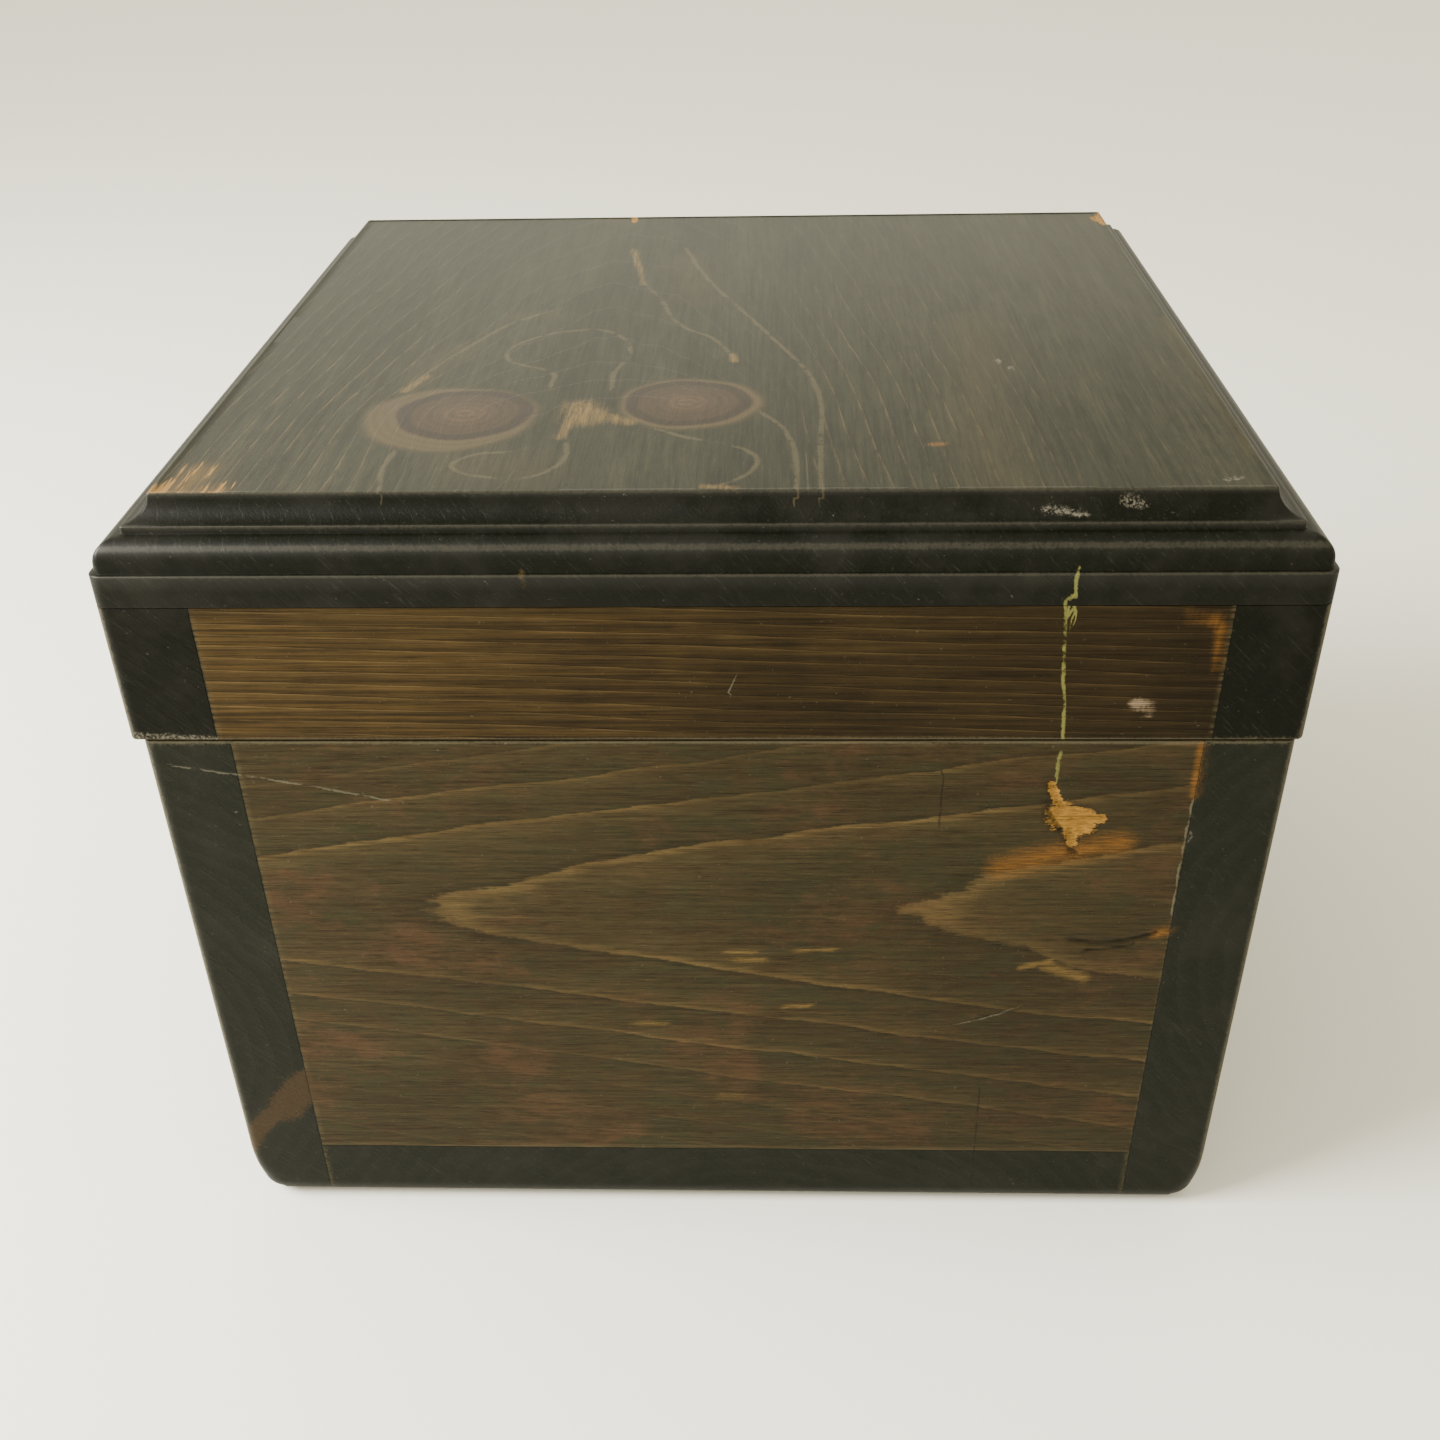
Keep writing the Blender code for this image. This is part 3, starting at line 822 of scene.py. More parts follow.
def bare_share(points, body):
    """Over a half where the stain did not reach: inside the box, past its rim."""
    return ((depth_in_body(points, body) - STAIN_LAP) / BARE_FADE + 0.5).clip(0, 1)


# The moulded top board

# The moulding, from the flat of the top outwards and down
COVE_RADIUS = 5.0
FILLET_DROP = 1.6
BEAD_LEDGE = 0.5
BEAD_RADIUS = 4.9
QUIRK_DROP = 1.4
LIP_WIDTH = 1.2
# The least rounding of the rings where the moulding's sides meet
MITRE_RADIUS = 0.7
# How far the finish of the moulding reaches in from the outline
MOULDING_REACH = 12.0


def arc(centre, radius, start, end, steps=9):
    """Points on an arc of (inset, drop), from one angle to another in degrees."""
    turns = np.radians(np.linspace(start, end, steps + 1))
    return np.stack((centre[0] + radius * np.cos(turns), centre[1] + radius * np.sin(turns)), 1)


def moulding_profile(thickness):
    """(inset, drop) points from the flat top outwards and down: cove, fillet, bead, lip."""
    cove_inset = LIP_WIDTH + BEAD_RADIUS + BEAD_LEDGE
    fillet = COVE_RADIUS + FILLET_DROP
    bead_drop = fillet + BEAD_RADIUS
    lip_drop = bead_drop + QUIRK_DROP
    ease = 0.25
    flat_inset = cove_inset + COVE_RADIUS
    stretches = (
        arc((flat_inset + ease, ease), ease, 270, 180, 3),
        arc((cove_inset, 0.0), COVE_RADIUS, 6, 88),
        arc((cove_inset + ease, COVE_RADIUS + ease), ease, 260, 180, 3),
        [(cove_inset, fillet - 0.15), (cove_inset - 0.1, fillet - 0.02)],
        arc((LIP_WIDTH + BEAD_RADIUS, bead_drop), BEAD_RADIUS, 270, 180, 11),
        [(LIP_WIDTH, lip_drop - 0.15), (LIP_WIDTH - 0.1, lip_drop - 0.02)],
        arc((0.3, lip_drop + 0.3), 0.3, 270, 180, 4),
        [(0.0, lip_drop + 0.6), (0.0, thickness * 0.5 + lip_drop * 0.5), (0.0, thickness - 0.5)],
        arc((0.3, thickness - 0.3), 0.3, 180, 90, 3),
    )
    return np.concatenate([np.array(stretch, float) for stretch in stretches])


def side_lines(low, high, inset, radius, shares):
    """Grid lines along one side at each inset: corner arcs at equal angles, even between.

    Every row of the result belongs to one inset, so the lines of all rows match in number.
    """
    turns = np.linspace(0.0, math.pi / 4, 5)
    corner = radius[:, None] * (1 - np.tan(turns))[::-1]
    start = low + inset[:, None] + corner
    end = (high - inset[:, None] - corner)[:, ::-1]
    middle = start[:, -1:] + (end[:, :1] - start[:, -1:]) * shares
    return np.concatenate((start, middle, end), axis=1)


def even_shares(low, high, step, fine):
    """Shares from 0 to 1 between two ends, closer together in the fine span."""
    lines = np.arange(low + step, high, step)
    close = np.arange(fine[0], fine[1], fine[2])
    lines = np.sort(np.append(lines[(lines < fine[0]) | (lines > fine[1])], close))
    return (lines - low) / (high - low)


def moulded_top_grid(low, high):
    """Flat top, moulding and underside as one closed sheet.

    Each profile point gives a ring round the board: the outline moved in by its inset,
    with rolled corners, lowered by its drop. The flat top is a grid that meets the ring
    at the cove, and the underside is the same grid turned over.
    """
    insets, drops = moulding_profile(high[Z] - low[Z]).T
    radii = np.maximum(sizes().corner_radius / MM - insets, MITRE_RADIUS)
    step = sizes().top_grid / MM
    margin = insets[0]
    shares = [
        even_shares(low[X] + margin, high[X] - margin, step, (-82.0, 30.0, 1.0)),
        even_shares(low[Y] + margin, high[Y] - margin, step, (low[Y] + 12.5, low[Y] + 132.0, 1.0)),
    ]
    rows = [side_lines(low[axis], high[axis], insets, radii, shares[axis]) for axis in (X, Y)]
    wide, deep = rows[X].shape[1], rows[Y].shape[1]
    grid_i, grid_j = np.meshgrid(np.arange(wide), np.arange(deep), indexing="ij")
    border = border_walk(wide, deep)
    sheets = [grid_sheet(rows, 0, high[Z] - drops[0], grid_i, grid_j)]
    for row in range(1, len(insets) - 1):
        ring = np.stack((rows[X][row][border[:, 0]], rows[Y][row][border[:, 1]],
                         np.full(len(border), high[Z] - drops[row])), axis=1)
        sheets.append(ring)
    sheets.append(grid_sheet(rows, -1, low[Z], grid_i, grid_j))
    for row, sheet in enumerate(sheets):
        centre_low = np.array((low[X], low[Y])) + insets[row] + radii[row]
        centre_high = np.array((high[X], high[Y])) - insets[row] - radii[row]
        nearest = np.clip(sheet[:, :2], centre_low, centre_high)
        offset = sheet[:, :2] - nearest
        length = np.hypot(offset[:, 0], offset[:, 1])
        shrink = np.minimum(1.0, radii[row] / np.maximum(length, 1e-9))
        sheet[:, :2] = nearest + offset * shrink[:, None]
    points = np.concatenate(sheets)
    return points, top_quads(wide, deep, border, len(insets))


def grid_sheet(rows, row, height, grid_i, grid_j):
    """A flat grid at one height, from one row of the side lines."""
    return np.stack((rows[X][row][grid_i], rows[Y][row][grid_j],
                     np.full(grid_i.shape, height)), axis=-1).reshape(-1, 3)


def border_walk(wide, deep):
    """(i, j) of the border of a grid, once round, counter-clockwise from above."""
    i = np.arange(wide - 1)
    j = np.arange(deep - 1)
    return np.concatenate((
        np.stack((i, 0 * i), 1),
        np.stack((0 * j + wide - 1, j), 1),
        np.stack((wide - 1 - i, 0 * i + deep - 1), 1),
        np.stack((0 * j, deep - 1 - j), 1),
    ))


def top_quads(wide, deep, border, ring_count):
    """Quads of the top grid, the bands between rings and the underside."""
    grid = np.arange(wide * deep).reshape(wide, deep)
    top = np.stack((grid[:-1, :-1], grid[1:, :-1], grid[1:, 1:], grid[:-1, 1:]), -1).reshape(-1, 4)
    middle = wide * deep + np.arange((ring_count - 2) * len(border)).reshape(-1, len(border))
    under = middle.max() + 1 + grid
    rings = np.concatenate((
        grid[border[:, 0], border[:, 1]][None], middle, under[border[:, 0], border[:, 1]][None]))
    upper, lower = rings[:-1], rings[1:]
    bands = np.stack((upper, lower, np.roll(lower, -1, axis=1), np.roll(upper, -1, axis=1)), -1)
    bottom = top[:, ::-1] + under[0, 0]
    return np.concatenate((top, bands.reshape(-1, 4), bottom))


def knot_fields(places):
    """Distance from the nearest knot's middle and its halo's, over their radii."""
    hearts = []
    halos = []
    for number, (middle, radius, halo_middle, halo_radius) in enumerate(KNOTS):
        offset = places - middle
        turn = np.arctan2(offset[:, 1], offset[:, 0])
        lobes = 1 + 0.02 * np.sin(3 * turn + number) + 0.012 * np.sin(7 * turn + 2 * number)
        hearts.append(np.hypot(*offset.T) / (radius * lobes))
        halos.append(np.hypot(*(places - halo_middle).T) / (halo_radius * lobes))
    return np.min(hearts, axis=0), np.min(halos, axis=0)


def top_rings(points, board, low, high):
    """Rings of the top: cones closing towards the back, pushed aside by the two knots."""
    rings = board.rings
    back = points[:, Y] - low[Y]
    inward = rings.depth + rings.lean * (back - rings.start) + (high[Z] - points[:, Z])
    distance = np.hypot(points[:, X] - rings.centre, inward)
    for middle, radius, _, _ in KNOTS:
        reach = np.hypot(points[:, X] - middle[0], back - middle[1])
        distance = distance - KNOT_PUSH * np.exp(-(reach / (1.5 * radius)) ** 2)
    swell = waves(points, (16.0, 90.0, 16.0), rings.seed)
    broad = waves(points, (60.0, 160.0, 60.0), rings.seed + 9)
    return distance / rings.width + rings.wander * swell + 0.3 * broad


def make_moulded_top(board):
    """The lid's top board with its moulding, marks and knots."""
    low, high = node_box(board.node)
    points, quads = moulded_top_grid(low, high)
    flat = points.copy()
    places = flat[:, :2] - (0.0, low[Y])
    on_top = (flat[:, Z] > high[Z] - 9.0).astype(float)
    marks = mark_fields(places, TOP_MARKS, on_top)
    marks.update(line_fields(places, TOP_LINES, on_top))
    on_front = (flat[:, Y] < low[Y] + 7.5) & (flat[:, Z] < high[Z] - 4.0)
    for kind, field in mark_fields(flat[:, [X, Z]], FRONT_MARKS, on_front.astype(float)).items():
        marks[kind] = np.maximum(marks.get(kind, 0.0), field)
    marks.update(line_fields(flat[:, [X, Z]], FRONT_LINES, on_front.astype(float)))
    knot, halo = knot_fields(places)
    inset = np.min((flat[:, X] - low[X], high[X] - flat[:, X],
                    flat[:, Y] - low[Y], high[Y] - flat[:, Y]), axis=0)
    end_gap = np.minimum(flat[:, Y] - low[Y], high[Y] - flat[:, Y])
    moulded = ((MOULDING_REACH - inset) / 0.6).clip(0, 1) * (flat[:, Z] > low[Z] + 0.05)
    fields = {
        "rings": top_rings(flat, board, low, high),
        "end_grain": moulded * (end_gap < inset + 0.6),
        "moulded": moulded,
        "bare": (flat[:, Z] < low[Z] + 0.01) * ((inset - MOULDING_REACH) / BARE_FADE).clip(0, 1),
        "wear": top_wear_and_highlight(high[Z] - flat[:, Z], inset),
        "knot": knot.clip(0, 3),
        "halo": halo.clip(0, 3),
        "late": top_late_share(places, inset),
        "joint": 0.0,
    }
    sink_marks(points, {key: 0.4 * marks[key] for key in ("raw", "dark") if key in marks}, "head")
    slow = 0.5 + 0.5 * waves(flat, (80.0, 80.0, 80.0), board.rings.seed)
    heart = np.exp(-(knot / 0.8) ** 2)
    face = (flat[:, Z] > high[Z] - 0.01) & (inset > MOULDING_REACH + 0.5)
    points[face, Z] -= (sizes().hand_planed / MM * slow + 0.10 * (1 - heart))[face]
    fields.update(marks)
    finish = stained_pine(board, marks, moulded=True)
    piece = write_mesh(board.node + "_board", points, quads, fields, finish)
    piece.data.set_sharp_from_angle(angle=math.radians(50))
    place_piece(piece, board.body, board.slot, board.node)


def top_late_share(places, inset):
    """Tan lines show beside the knots towards the front, and hardly in the middle."""
    side = np.abs(places[:, 0] + 25.0)
    beside = ((side - 38.0) / 14.0).clip(0, 1) * (1 - 0.75 * ((side - 75.0) / 30.0).clip(0, 1))
    forward = 1 - 0.75 * ((places[:, 1] - 70.0) / 90.0).clip(0, 1)
    return (0.10 + 0.9 * beside * forward) * (inset > 6.0)


def top_wear_and_highlight(drop, inset):
    """1 on the moulding's raised edges: the flat's rim, the bead's crown and the lip, where pale wear, a
    painted highlight and the coat's gloss go.
    """
    crown = LIP_WIDTH + 0.3 * BEAD_RADIUS
    bead_drop = COVE_RADIUS + FILLET_DROP + 0.3 * BEAD_RADIUS
    edges = ((COVE_RADIUS + LIP_WIDTH + BEAD_RADIUS + BEAD_LEDGE, 0.1, 0.7),
             (LIP_WIDTH + BEAD_RADIUS + BEAD_LEDGE, COVE_RADIUS + 0.1, 0.5),
             (crown, bead_drop, 1.2), (0.1, 13.0, 0.6))
    gaps = [np.exp(-(np.hypot(inset - at, drop - down) / reach) ** 2) for at, down, reach in edges]
    return np.max(gaps, axis=0)


# Finishes of the wood

# How deep the dark stain is on each body, as gains of red, green and blue
DARK_GAIN = {"base": (1.02, 1.0, 1.35), "lid": (0.38, 0.38, 0.38)}
# How far the tan growth lines and the fibres stand out in each tone
LATE_GAIN = {"front_stain": 0.78, "lid_stain": 0.75, "top_stain": 0.42}
FIBRE_GAIN = {"front_stain": 1.1, "lid_stain": 1.3, "top_stain": 1.6}
# How often fibres and fine pores change along the grain, for each millimetre
GRAIN_LENGTHS = {"front_stain": (0.032, 0.16), "lid_stain": (0.011, 0.055)}
# Painted shade on the front boards: gains at their left end and their right, darker to the right where
# less light falls
SIDE_SHADE_GAIN = {"base_front": (1.02, 0.82), "lid_front": (0.86, 0.36)}
# How far the pale wear and painted highlight of raised edges show, on plain boards and on the moulding
EDGE_WEAR_AND_HIGHLIGHT_SHOWS = (0.5, 0.16)
# The polish on the flat of the top
TOP_COAT = 0.17
GREEN_STAIN = (0.0140, 0.0148, 0.0068)
RED_STAIN = (0.0400, 0.0215, 0.0105)
GOLDEN_STAIN = (0.070, 0.040, 0.010)
BLUSH_STAIN = (0.036, 0.0255, 0.0090)
PALE_FIBRE = (0.100, 0.092, 0.055)
SAWN_FIBRE = (0.030, 0.031, 0.025)
RUBBED_END = (0.019, 0.0180, 0.0150)
# Pale colour of the raised edges: partly wear, partly a painted highlight
WORN_EDGE_AND_HIGHLIGHT = (0.075, 0.066, 0.042)
GLUE_LINE = (0.066, 0.052, 0.026)
DUST = (0.14, 0.13, 0.10)
HALO = (0.046, 0.0305, 0.0115)
HALO_YEAR = (0.022, 0.015, 0.006)
HALO_OUTLINE = (0.014, 0.011, 0.005)
KNOT_RIM = (0.0070, 0.0038, 0.0022)
KNOT_CRACK = (0.003, 0.002, 0.0015)
TORN_RIM = (0.012, 0.007, 0.003)
# Kinds of marks: colour, field values where it starts and where it is full, strength.
# Torn wood takes the torn pine colour.
MARK_LOOKS = {
    "worn": ((0.030, 0.0185, 0.0085), 0.36, 0.60, 0.78),
    "tan": ((0.094, 0.060, 0.019), 0.10, 1.0, 0.85),
    "orange": ((0.110, 0.048, 0.0090), 0.14, 1.15, 0.85),
    # The pale kind also paints highlights: its strokes on the top's cove are painted glints
    "pale": ((0.21, 0.19, 0.145), 0.44, 0.95, 0.35),
    "chip": ((0.185, 0.135, 0.090), 0.36, 0.80, 0.75),
    "raw": (None, 0.38, 0.52, 1.0),
    "frayed": (None, 0.1, 1.4, 0.35),
    "dark": ((0.0052, 0.0046, 0.0030), 0.40, 0.80, 0.70),
}
# Kinds of thin lines: colour, half width in millimetres, strength
LINE_LOOKS = {
    "loop": ((0.058, 0.047, 0.024), 0.85, 0.46),
    "scratch": ((0.115, 0.110, 0.078), 0.34, 0.38),
    "drip": ((0.125, 0.125, 0.036), 0.50, 0.75),
    "crack": ((0.0040, 0.0038, 0.0028), 0.28, 0.60),
}


class Wood:
    """The noises of one board, from single pores to slow clouds, and its growth lines.

    years counts the rings, shaken by the noises. Within a year, late climbs over the
    latewood, sharp marks its last part and spent the first of the next year.
    """

    def __init__(self, finish, board, moulded):
        slow, quick = GRAIN_LENGTHS.get(board.tone, (0.04, 0.2))
        broad = (0.005, 0.05) if moulded else (0.014, 0.03)

        def along_grain(lengths, detail, roughness):
            return finish.noise(
                finish.stretched(board.grain, *lengths), detail=detail, roughness=roughness)

        self.fibre = along_grain((slow, 1.1), 4.0, 0.7)
        self.fine = along_grain((quick, 3.4), 3.0, 0.75)
        self.cloud = along_grain(broad, 4.0, 0.65)
        self.patch = along_grain((0.030, 0.055), 5.0, 0.7)
        self.blotch = along_grain((0.10, 0.24), 4.0, 0.75)
        self.grit = finish.noise(finish.place, scale=1.6, detail=2.0, roughness=0.7)
        years = finish.field("rings") + (self.fibre - 0.5) * 0.15 + (self.patch - 0.5) * 0.30
        self.phase = years.fraction()
        self.late = self.phase.rise(0.35, 0.97) * self.phase.rise(1.0, 0.975)
        self.sharp = self.phase.rise(0.86, 0.97) * self.phase.rise(1.0, 0.98)
        self.spent = self.phase.rise(0.12, 0.0)
        if moulded:
            shows = self.blotch.rise(0.36, 0.56) * self.patch.rise(0.32, 0.50)
        else:
            shows = self.cloud.rise(0.36, 0.64) * 0.6 + 0.4
        self.showing = finish.field("late") * shows


def painted_side_shade(finish, board):
    """Painted shade across a front board: a gain that darkens it from its left end to its right."""
    left, right = SIDE_SHADE_GAIN.get(board.node, (1, 1))
    return finish.axes[X].rise(-120.0, 110.0) * (right - left) + left


def stain_clouds(finish, board, wood):
    """The stain: darker where it pooled, and mottled green and red, or golden on the lid."""
    stain = getattr(colours(), board.tone)
    pooled = tuple(0.70 * part for part in stain)
    colour = finish.mix(wood.cloud.rise(0.38, 0.66), pooled, stain)
    if board.tone == "front_stain":
        colour = finish.mix(wood.blotch.rise(0.40, 0.62) * 0.55, colour, GREEN_STAIN)
        colour = finish.mix(wood.cloud.rise(0.46, 0.62) * 0.40, colour, GREEN_STAIN)
        red = wood.patch.rise(0.50, 0.38) * wood.blotch.rise(0.32, 0.56)
        colour = finish.mix(red * 0.7, colour, RED_STAIN)
    if board.tone == "lid_stain":
        golden = finish.axes[X].rise(60.0, -110.0) * wood.fibre.rise(0.44, 0.60)
        colour = finish.mix(golden * 0.32, colour, GOLDEN_STAIN)
    return colour


def grown_lines(finish, board, wood, colour, moulded):
    """Tan growth lines, light and dark fibres, dark pores and pale flecks over a colour."""
    gain = LATE_GAIN.get(board.tone, 0.3)
    soft = 0.05 if moulded else 0.30
    lines = (wood.sharp * 0.75 + wood.late * soft) * wood.showing * gain
    colour = finish.mix(lines, colour, tuple(colours().latewood))
    colour = finish.tinted(colour, 1 - wood.spent * wood.showing * 0.35)
    streaks = (wood.fibre - 0.5) * 1.5 + (wood.fine - 0.5) * 1.3 + (wood.blotch - 0.5) * 0.7
    contrast = FIBRE_GAIN.get(board.tone, 1.0)
    colour = finish.tinted(colour, (1 + streaks * contrast).most(0.2))
    pores = wood.fine.rise(0.43, 0.34) * wood.grit.rise(0.40, 0.56)
    colour = finish.tinted(colour, 1 - pores * 0.35)
    flecks = wood.fine.rise(0.60, 0.72) * wood.grit.rise(0.46, 0.60)
    return finish.mix(flecks * (0.12 if moulded else 0.30), colour, PALE_FIBRE)


def dark_ends(finish, board, wood, colour, height, moulded):
    """The dark stain of end grain and moulding, with saw marks that fall to the right."""
    dark = tuple(
        gain * part for gain, part in zip(DARK_GAIN[board.body], colours().dark_stain))
    edge = finish.field("end_grain").rise(0.35, 0.75)
    if moulded:
        side = finish.field("moulded").rise(0.3, 0.7)
        colour = finish.mix(side, colour, finish.tinted(dark, 0.7 + wood.fibre * 0.6))
    soaked = finish.tinted(dark, (0.90 + wood.late * 0.15) * (0.55 + wood.grit * 0.9))
    colour = finish.mix(edge, colour, soaked)
    across, up = finish.axes[X], finish.axes[Z]
    sawn = finish.noise(
        finish.vector((across + up) * 1.6, finish.axes[Y] * 0.9, (across - up) * 0.10),
        detail=3.0, roughness=0.75)
    colour = finish.mix(edge * sawn.rise(0.58, 0.72) * 0.30, colour, SAWN_FIBRE)
    rubbed = finish.noise(finish.place, scale=0.05, detail=4.0, roughness=0.65)
    colour = finish.mix(edge * rubbed.rise(0.46, 0.66) * 0.20, colour, RUBBED_END)
    return colour, height + edge * (sawn - 0.5) * 0.8


def wear_highlight_and_dust(finish, wood, colour, moulded):
    """Pale wear and a painted highlight on the raised edges, broken pale glue lines, and specks of dust.
    """
    wear = finish.field("wear") * (0.55 + wood.grit * 0.9) * (0.4 + wood.fibre * 1.2)
    # Painted highlight and pale wear along the raised edges
    colour = finish.mix(wear.rise(0.5, 1.0) * EDGE_WEAR_AND_HIGHLIGHT_SHOWS[moulded], colour, WORN_EDGE_AND_HIGHLIGHT)
    broken = 0.15 + wood.fibre.rise(0.44, 0.58) * 0.85
    joint = finish.field("joint").rise(0.35, 0.75) * broken
    colour = finish.mix(joint * 0.42, colour, GLUE_LINE)
    dust = finish.noise(finish.place, scale=0.9, detail=3.0, roughness=0.8)
    return finish.mix(dust.rise(0.67, 0.75) * 0.3, colour, DUST)


def polish(finish, wood):
    """The top's coat: thin in streaks and towards the front right, faint on the moulding."""
    side = finish.field("moulded").rise(0.1, 0.5)
    turned = finish.axes[X].rise(-70.0, 110.0) * finish.axes[Y].rise(60.0, -100.0)
    flat = (1 - side) * TOP_COAT * (1 - turned * 0.7) * (0.6 + wood.cloud * 0.8)
    return flat + side * (finish.field("wear") * 0.3 + 0.05)


def stained_pine(board, marks, moulded=False):
    """Stained pine on one board.

    The rings field gives sharp tan latewood lines; fibre noise runs along the grain, the
    stain clouds slowly, end grain drinks it and goes green-black, and each kind of mark
    is cut from its field with a ragged edge.
    """
    finish = Finish(board.node + "_pine")
    wood = Wood(finish, board, moulded)
    colour = stain_clouds(finish, board, wood)
    colour = grown_lines(finish, board, wood, colour, moulded)
    rough = 0.46 + (wood.fine - 0.5) * 0.16 + (wood.cloud - 0.5) * 0.1
    height = wood.fibre * 0.35 + wood.fine * 0.6 + wood.late * 0.3 + wood.grit * 0.12
    if "blush" in marks:
        blush = (finish.field("blush") * 1.1).least(1.0) * (0.2 + wood.fibre * 1.1)
        colour = finish.mix(blush * 0.28, colour, BLUSH_STAIN)
    if moulded:
        colour, rough = knots(finish, wood, colour, rough)
    # Painted shade: the front boards darken from left to right
    colour = finish.tinted(colour, painted_side_shade(finish, board))
    colour, height = dark_ends(finish, board, wood, colour, height, moulded)
    colour = wear_highlight_and_dust(finish, wood, colour, moulded)
    colour, rough = laid_marks(finish, wood, marks, colour, rough)
    colour = drawn_lines(finish, wood, marks, colour)
    colour, rough = bare_inside(finish, wood, colour, rough)
    return finish.surface(
        colour, rough, height, 0.10,
        Specular_IOR_Level=0.05,
        Coat_Weight=polish(finish, wood) if moulded else 0.0,
        Coat_Roughness=0.36,
    )


def knots(finish, wood, colour, rough):
    """Brown hearts with fine rings and dark rims, in a tan halo with a thin outline."""
    knot = finish.field("knot") + (wood.grit - 0.5) * 0.03
    halo = finish.field("halo") + (wood.grit - 0.5) * 0.10
    year = (knot * 40.0 + (wood.grit - 0.5) * 3.0).sine() * 0.5 + 0.5
    inside = knot.rise(1.02, 0.96)
    ring = halo.rise(1.05, 0.90)
    outline = halo.rise(0.93, 0.98) * halo.rise(1.06, 1.0)
    colour = finish.mix(ring * 0.75, colour, HALO)
    colour = finish.mix(ring * (1 - inside) * year * 0.45, colour, HALO_YEAR)
    colour = finish.mix(outline * 0.5, colour, HALO_OUTLINE)
    heart = tuple(colours().knot)
    light = tuple(2.3 * part for part in heart)
    core = finish.mix(knot.rise(0.55, 0.05) * 0.8, heart, light)
    core = finish.mix(year * 0.5, core, tuple(0.55 * part for part in heart))
    core = finish.mix(knot.rise(0.70, 0.86) * knot.rise(1.0, 0.93) * 0.8, core, KNOT_RIM)
    check = finish.noise(finish.stretched(X, 0.07, 0.5), detail=3.0, distortion=0.4)
    cracks = abs(check - 0.5).rise(0.03, 0.0) * knot.rise(0.32, 0.10)
    core = finish.mix(cracks * 0.9, core, KNOT_CRACK)
    core = finish.tinted(core, 0.6 + wood.fibre * 0.8)
    return finish.mix(inside, colour, core), rough - ring * 0.05


def laid_marks(finish, wood, marks, colour, rough):
    """Each kind of mark that the board has, cut from its field with a ragged edge."""
    ragged = (wood.fibre - 0.5) * 0.7 + (wood.fine - 0.5) * 0.4 + (wood.grit - 0.5) * 0.4
    for kind, (tone, start, end, most) in MARK_LOOKS.items():
        if kind not in marks:
            continue
        tone = tone or tuple(colours().torn_pine)
        shape = (finish.field(kind) + ragged).rise(start, end)
        if kind == "frayed":
            on_flat = finish.field("moulded").rise(0.4, 0.1)
            shape = shape * on_flat
        # On the top's cove these pale strokes are painted glints, broken up by grit
        if kind == "pale":
            shape = shape * wood.grit.rise(0.36, 0.62)
        if kind in ("tan", "orange", "chip"):
            shape = shape * (0.4 + wood.fine.rise(0.36, 0.60) * 0.6)
        contrast = 2.2 if kind == "raw" else 0.9
        streaks = 1 + (wood.fine - 0.5) * contrast + (wood.fibre - 0.5) * contrast
        colour = finish.mix(shape * most, colour, finish.tinted(tone, streaks))
        if kind == "frayed":
            splits = finish.noise(finish.stretched(Y, 0.05, 1.1), detail=2.0, roughness=0.6)
            torn = (finish.field(kind) * 0.5 + (splits - 0.5) * 3.2).rise(0.40, 0.52)
            torn = torn * finish.field(kind).rise(0.12, 0.4) * on_flat
            colour = finish.mix(torn, colour, tone)
        if kind == "raw":
            rough = rough + shape * 0.25
            rim = (finish.field(kind) + ragged).rise(0.26, 0.38) * (1 - shape)
            colour = finish.mix(rim * 0.5, colour, TORN_RIM)
    return colour, rough


def drawn_lines(finish, wood, marks, colour):
    """Thin lines from their signed distances, broken up along their run."""
    broken = finish.noise(finish.place, scale=0.22, detail=3.0, roughness=0.7)
    wobble = (wood.grit - 0.5) * 0.5 + (broken - 0.5) * 1.4
    for kind, (tone, width, most) in LINE_LOOKS.items():
        if kind + "_gap" not in marks:
            continue
        gap = abs(finish.field(kind + "_gap") + wobble)
        shape = (gap / (0.45 + broken)).rise(width, width * 0.35)
        shape = shape * finish.field(kind + "_near").rise(0.3, 0.7) * broken.rise(0.36, 0.52)
        colour = finish.mix(shape * most, colour, tone)
    return colour


def bare_inside(finish, wood, colour, rough):
    """Bare pine past the stain's ragged edge, with honey-coloured latewood."""
    share = finish.field("bare") + (wood.fibre - 0.5) * 0.5
    bare = share.rise(0.46, 0.54)
    pine = tuple(colours().bare_pine)
    honey = tuple(part * gain for part, gain in zip(pine, (0.72, 0.55, 0.38)))
    clean = finish.mix(wood.phase.rise(0.25, 0.98) * 0.75, pine, honey)
    clean = finish.tinted(clean, 0.82 + wood.fibre * 0.2 + wood.fine * 0.16)
    end = finish.field("end_grain").rise(0.35, 0.75)
    clean = finish.tinted(clean, 1 - end * 0.25)
    return finish.mix(bare, colour, clean), rough + bare * 0.2


# Brass

TARNISH = (0.22, 0.145, 0.06)
BROWN_SPOT = (0.06, 0.038, 0.02)


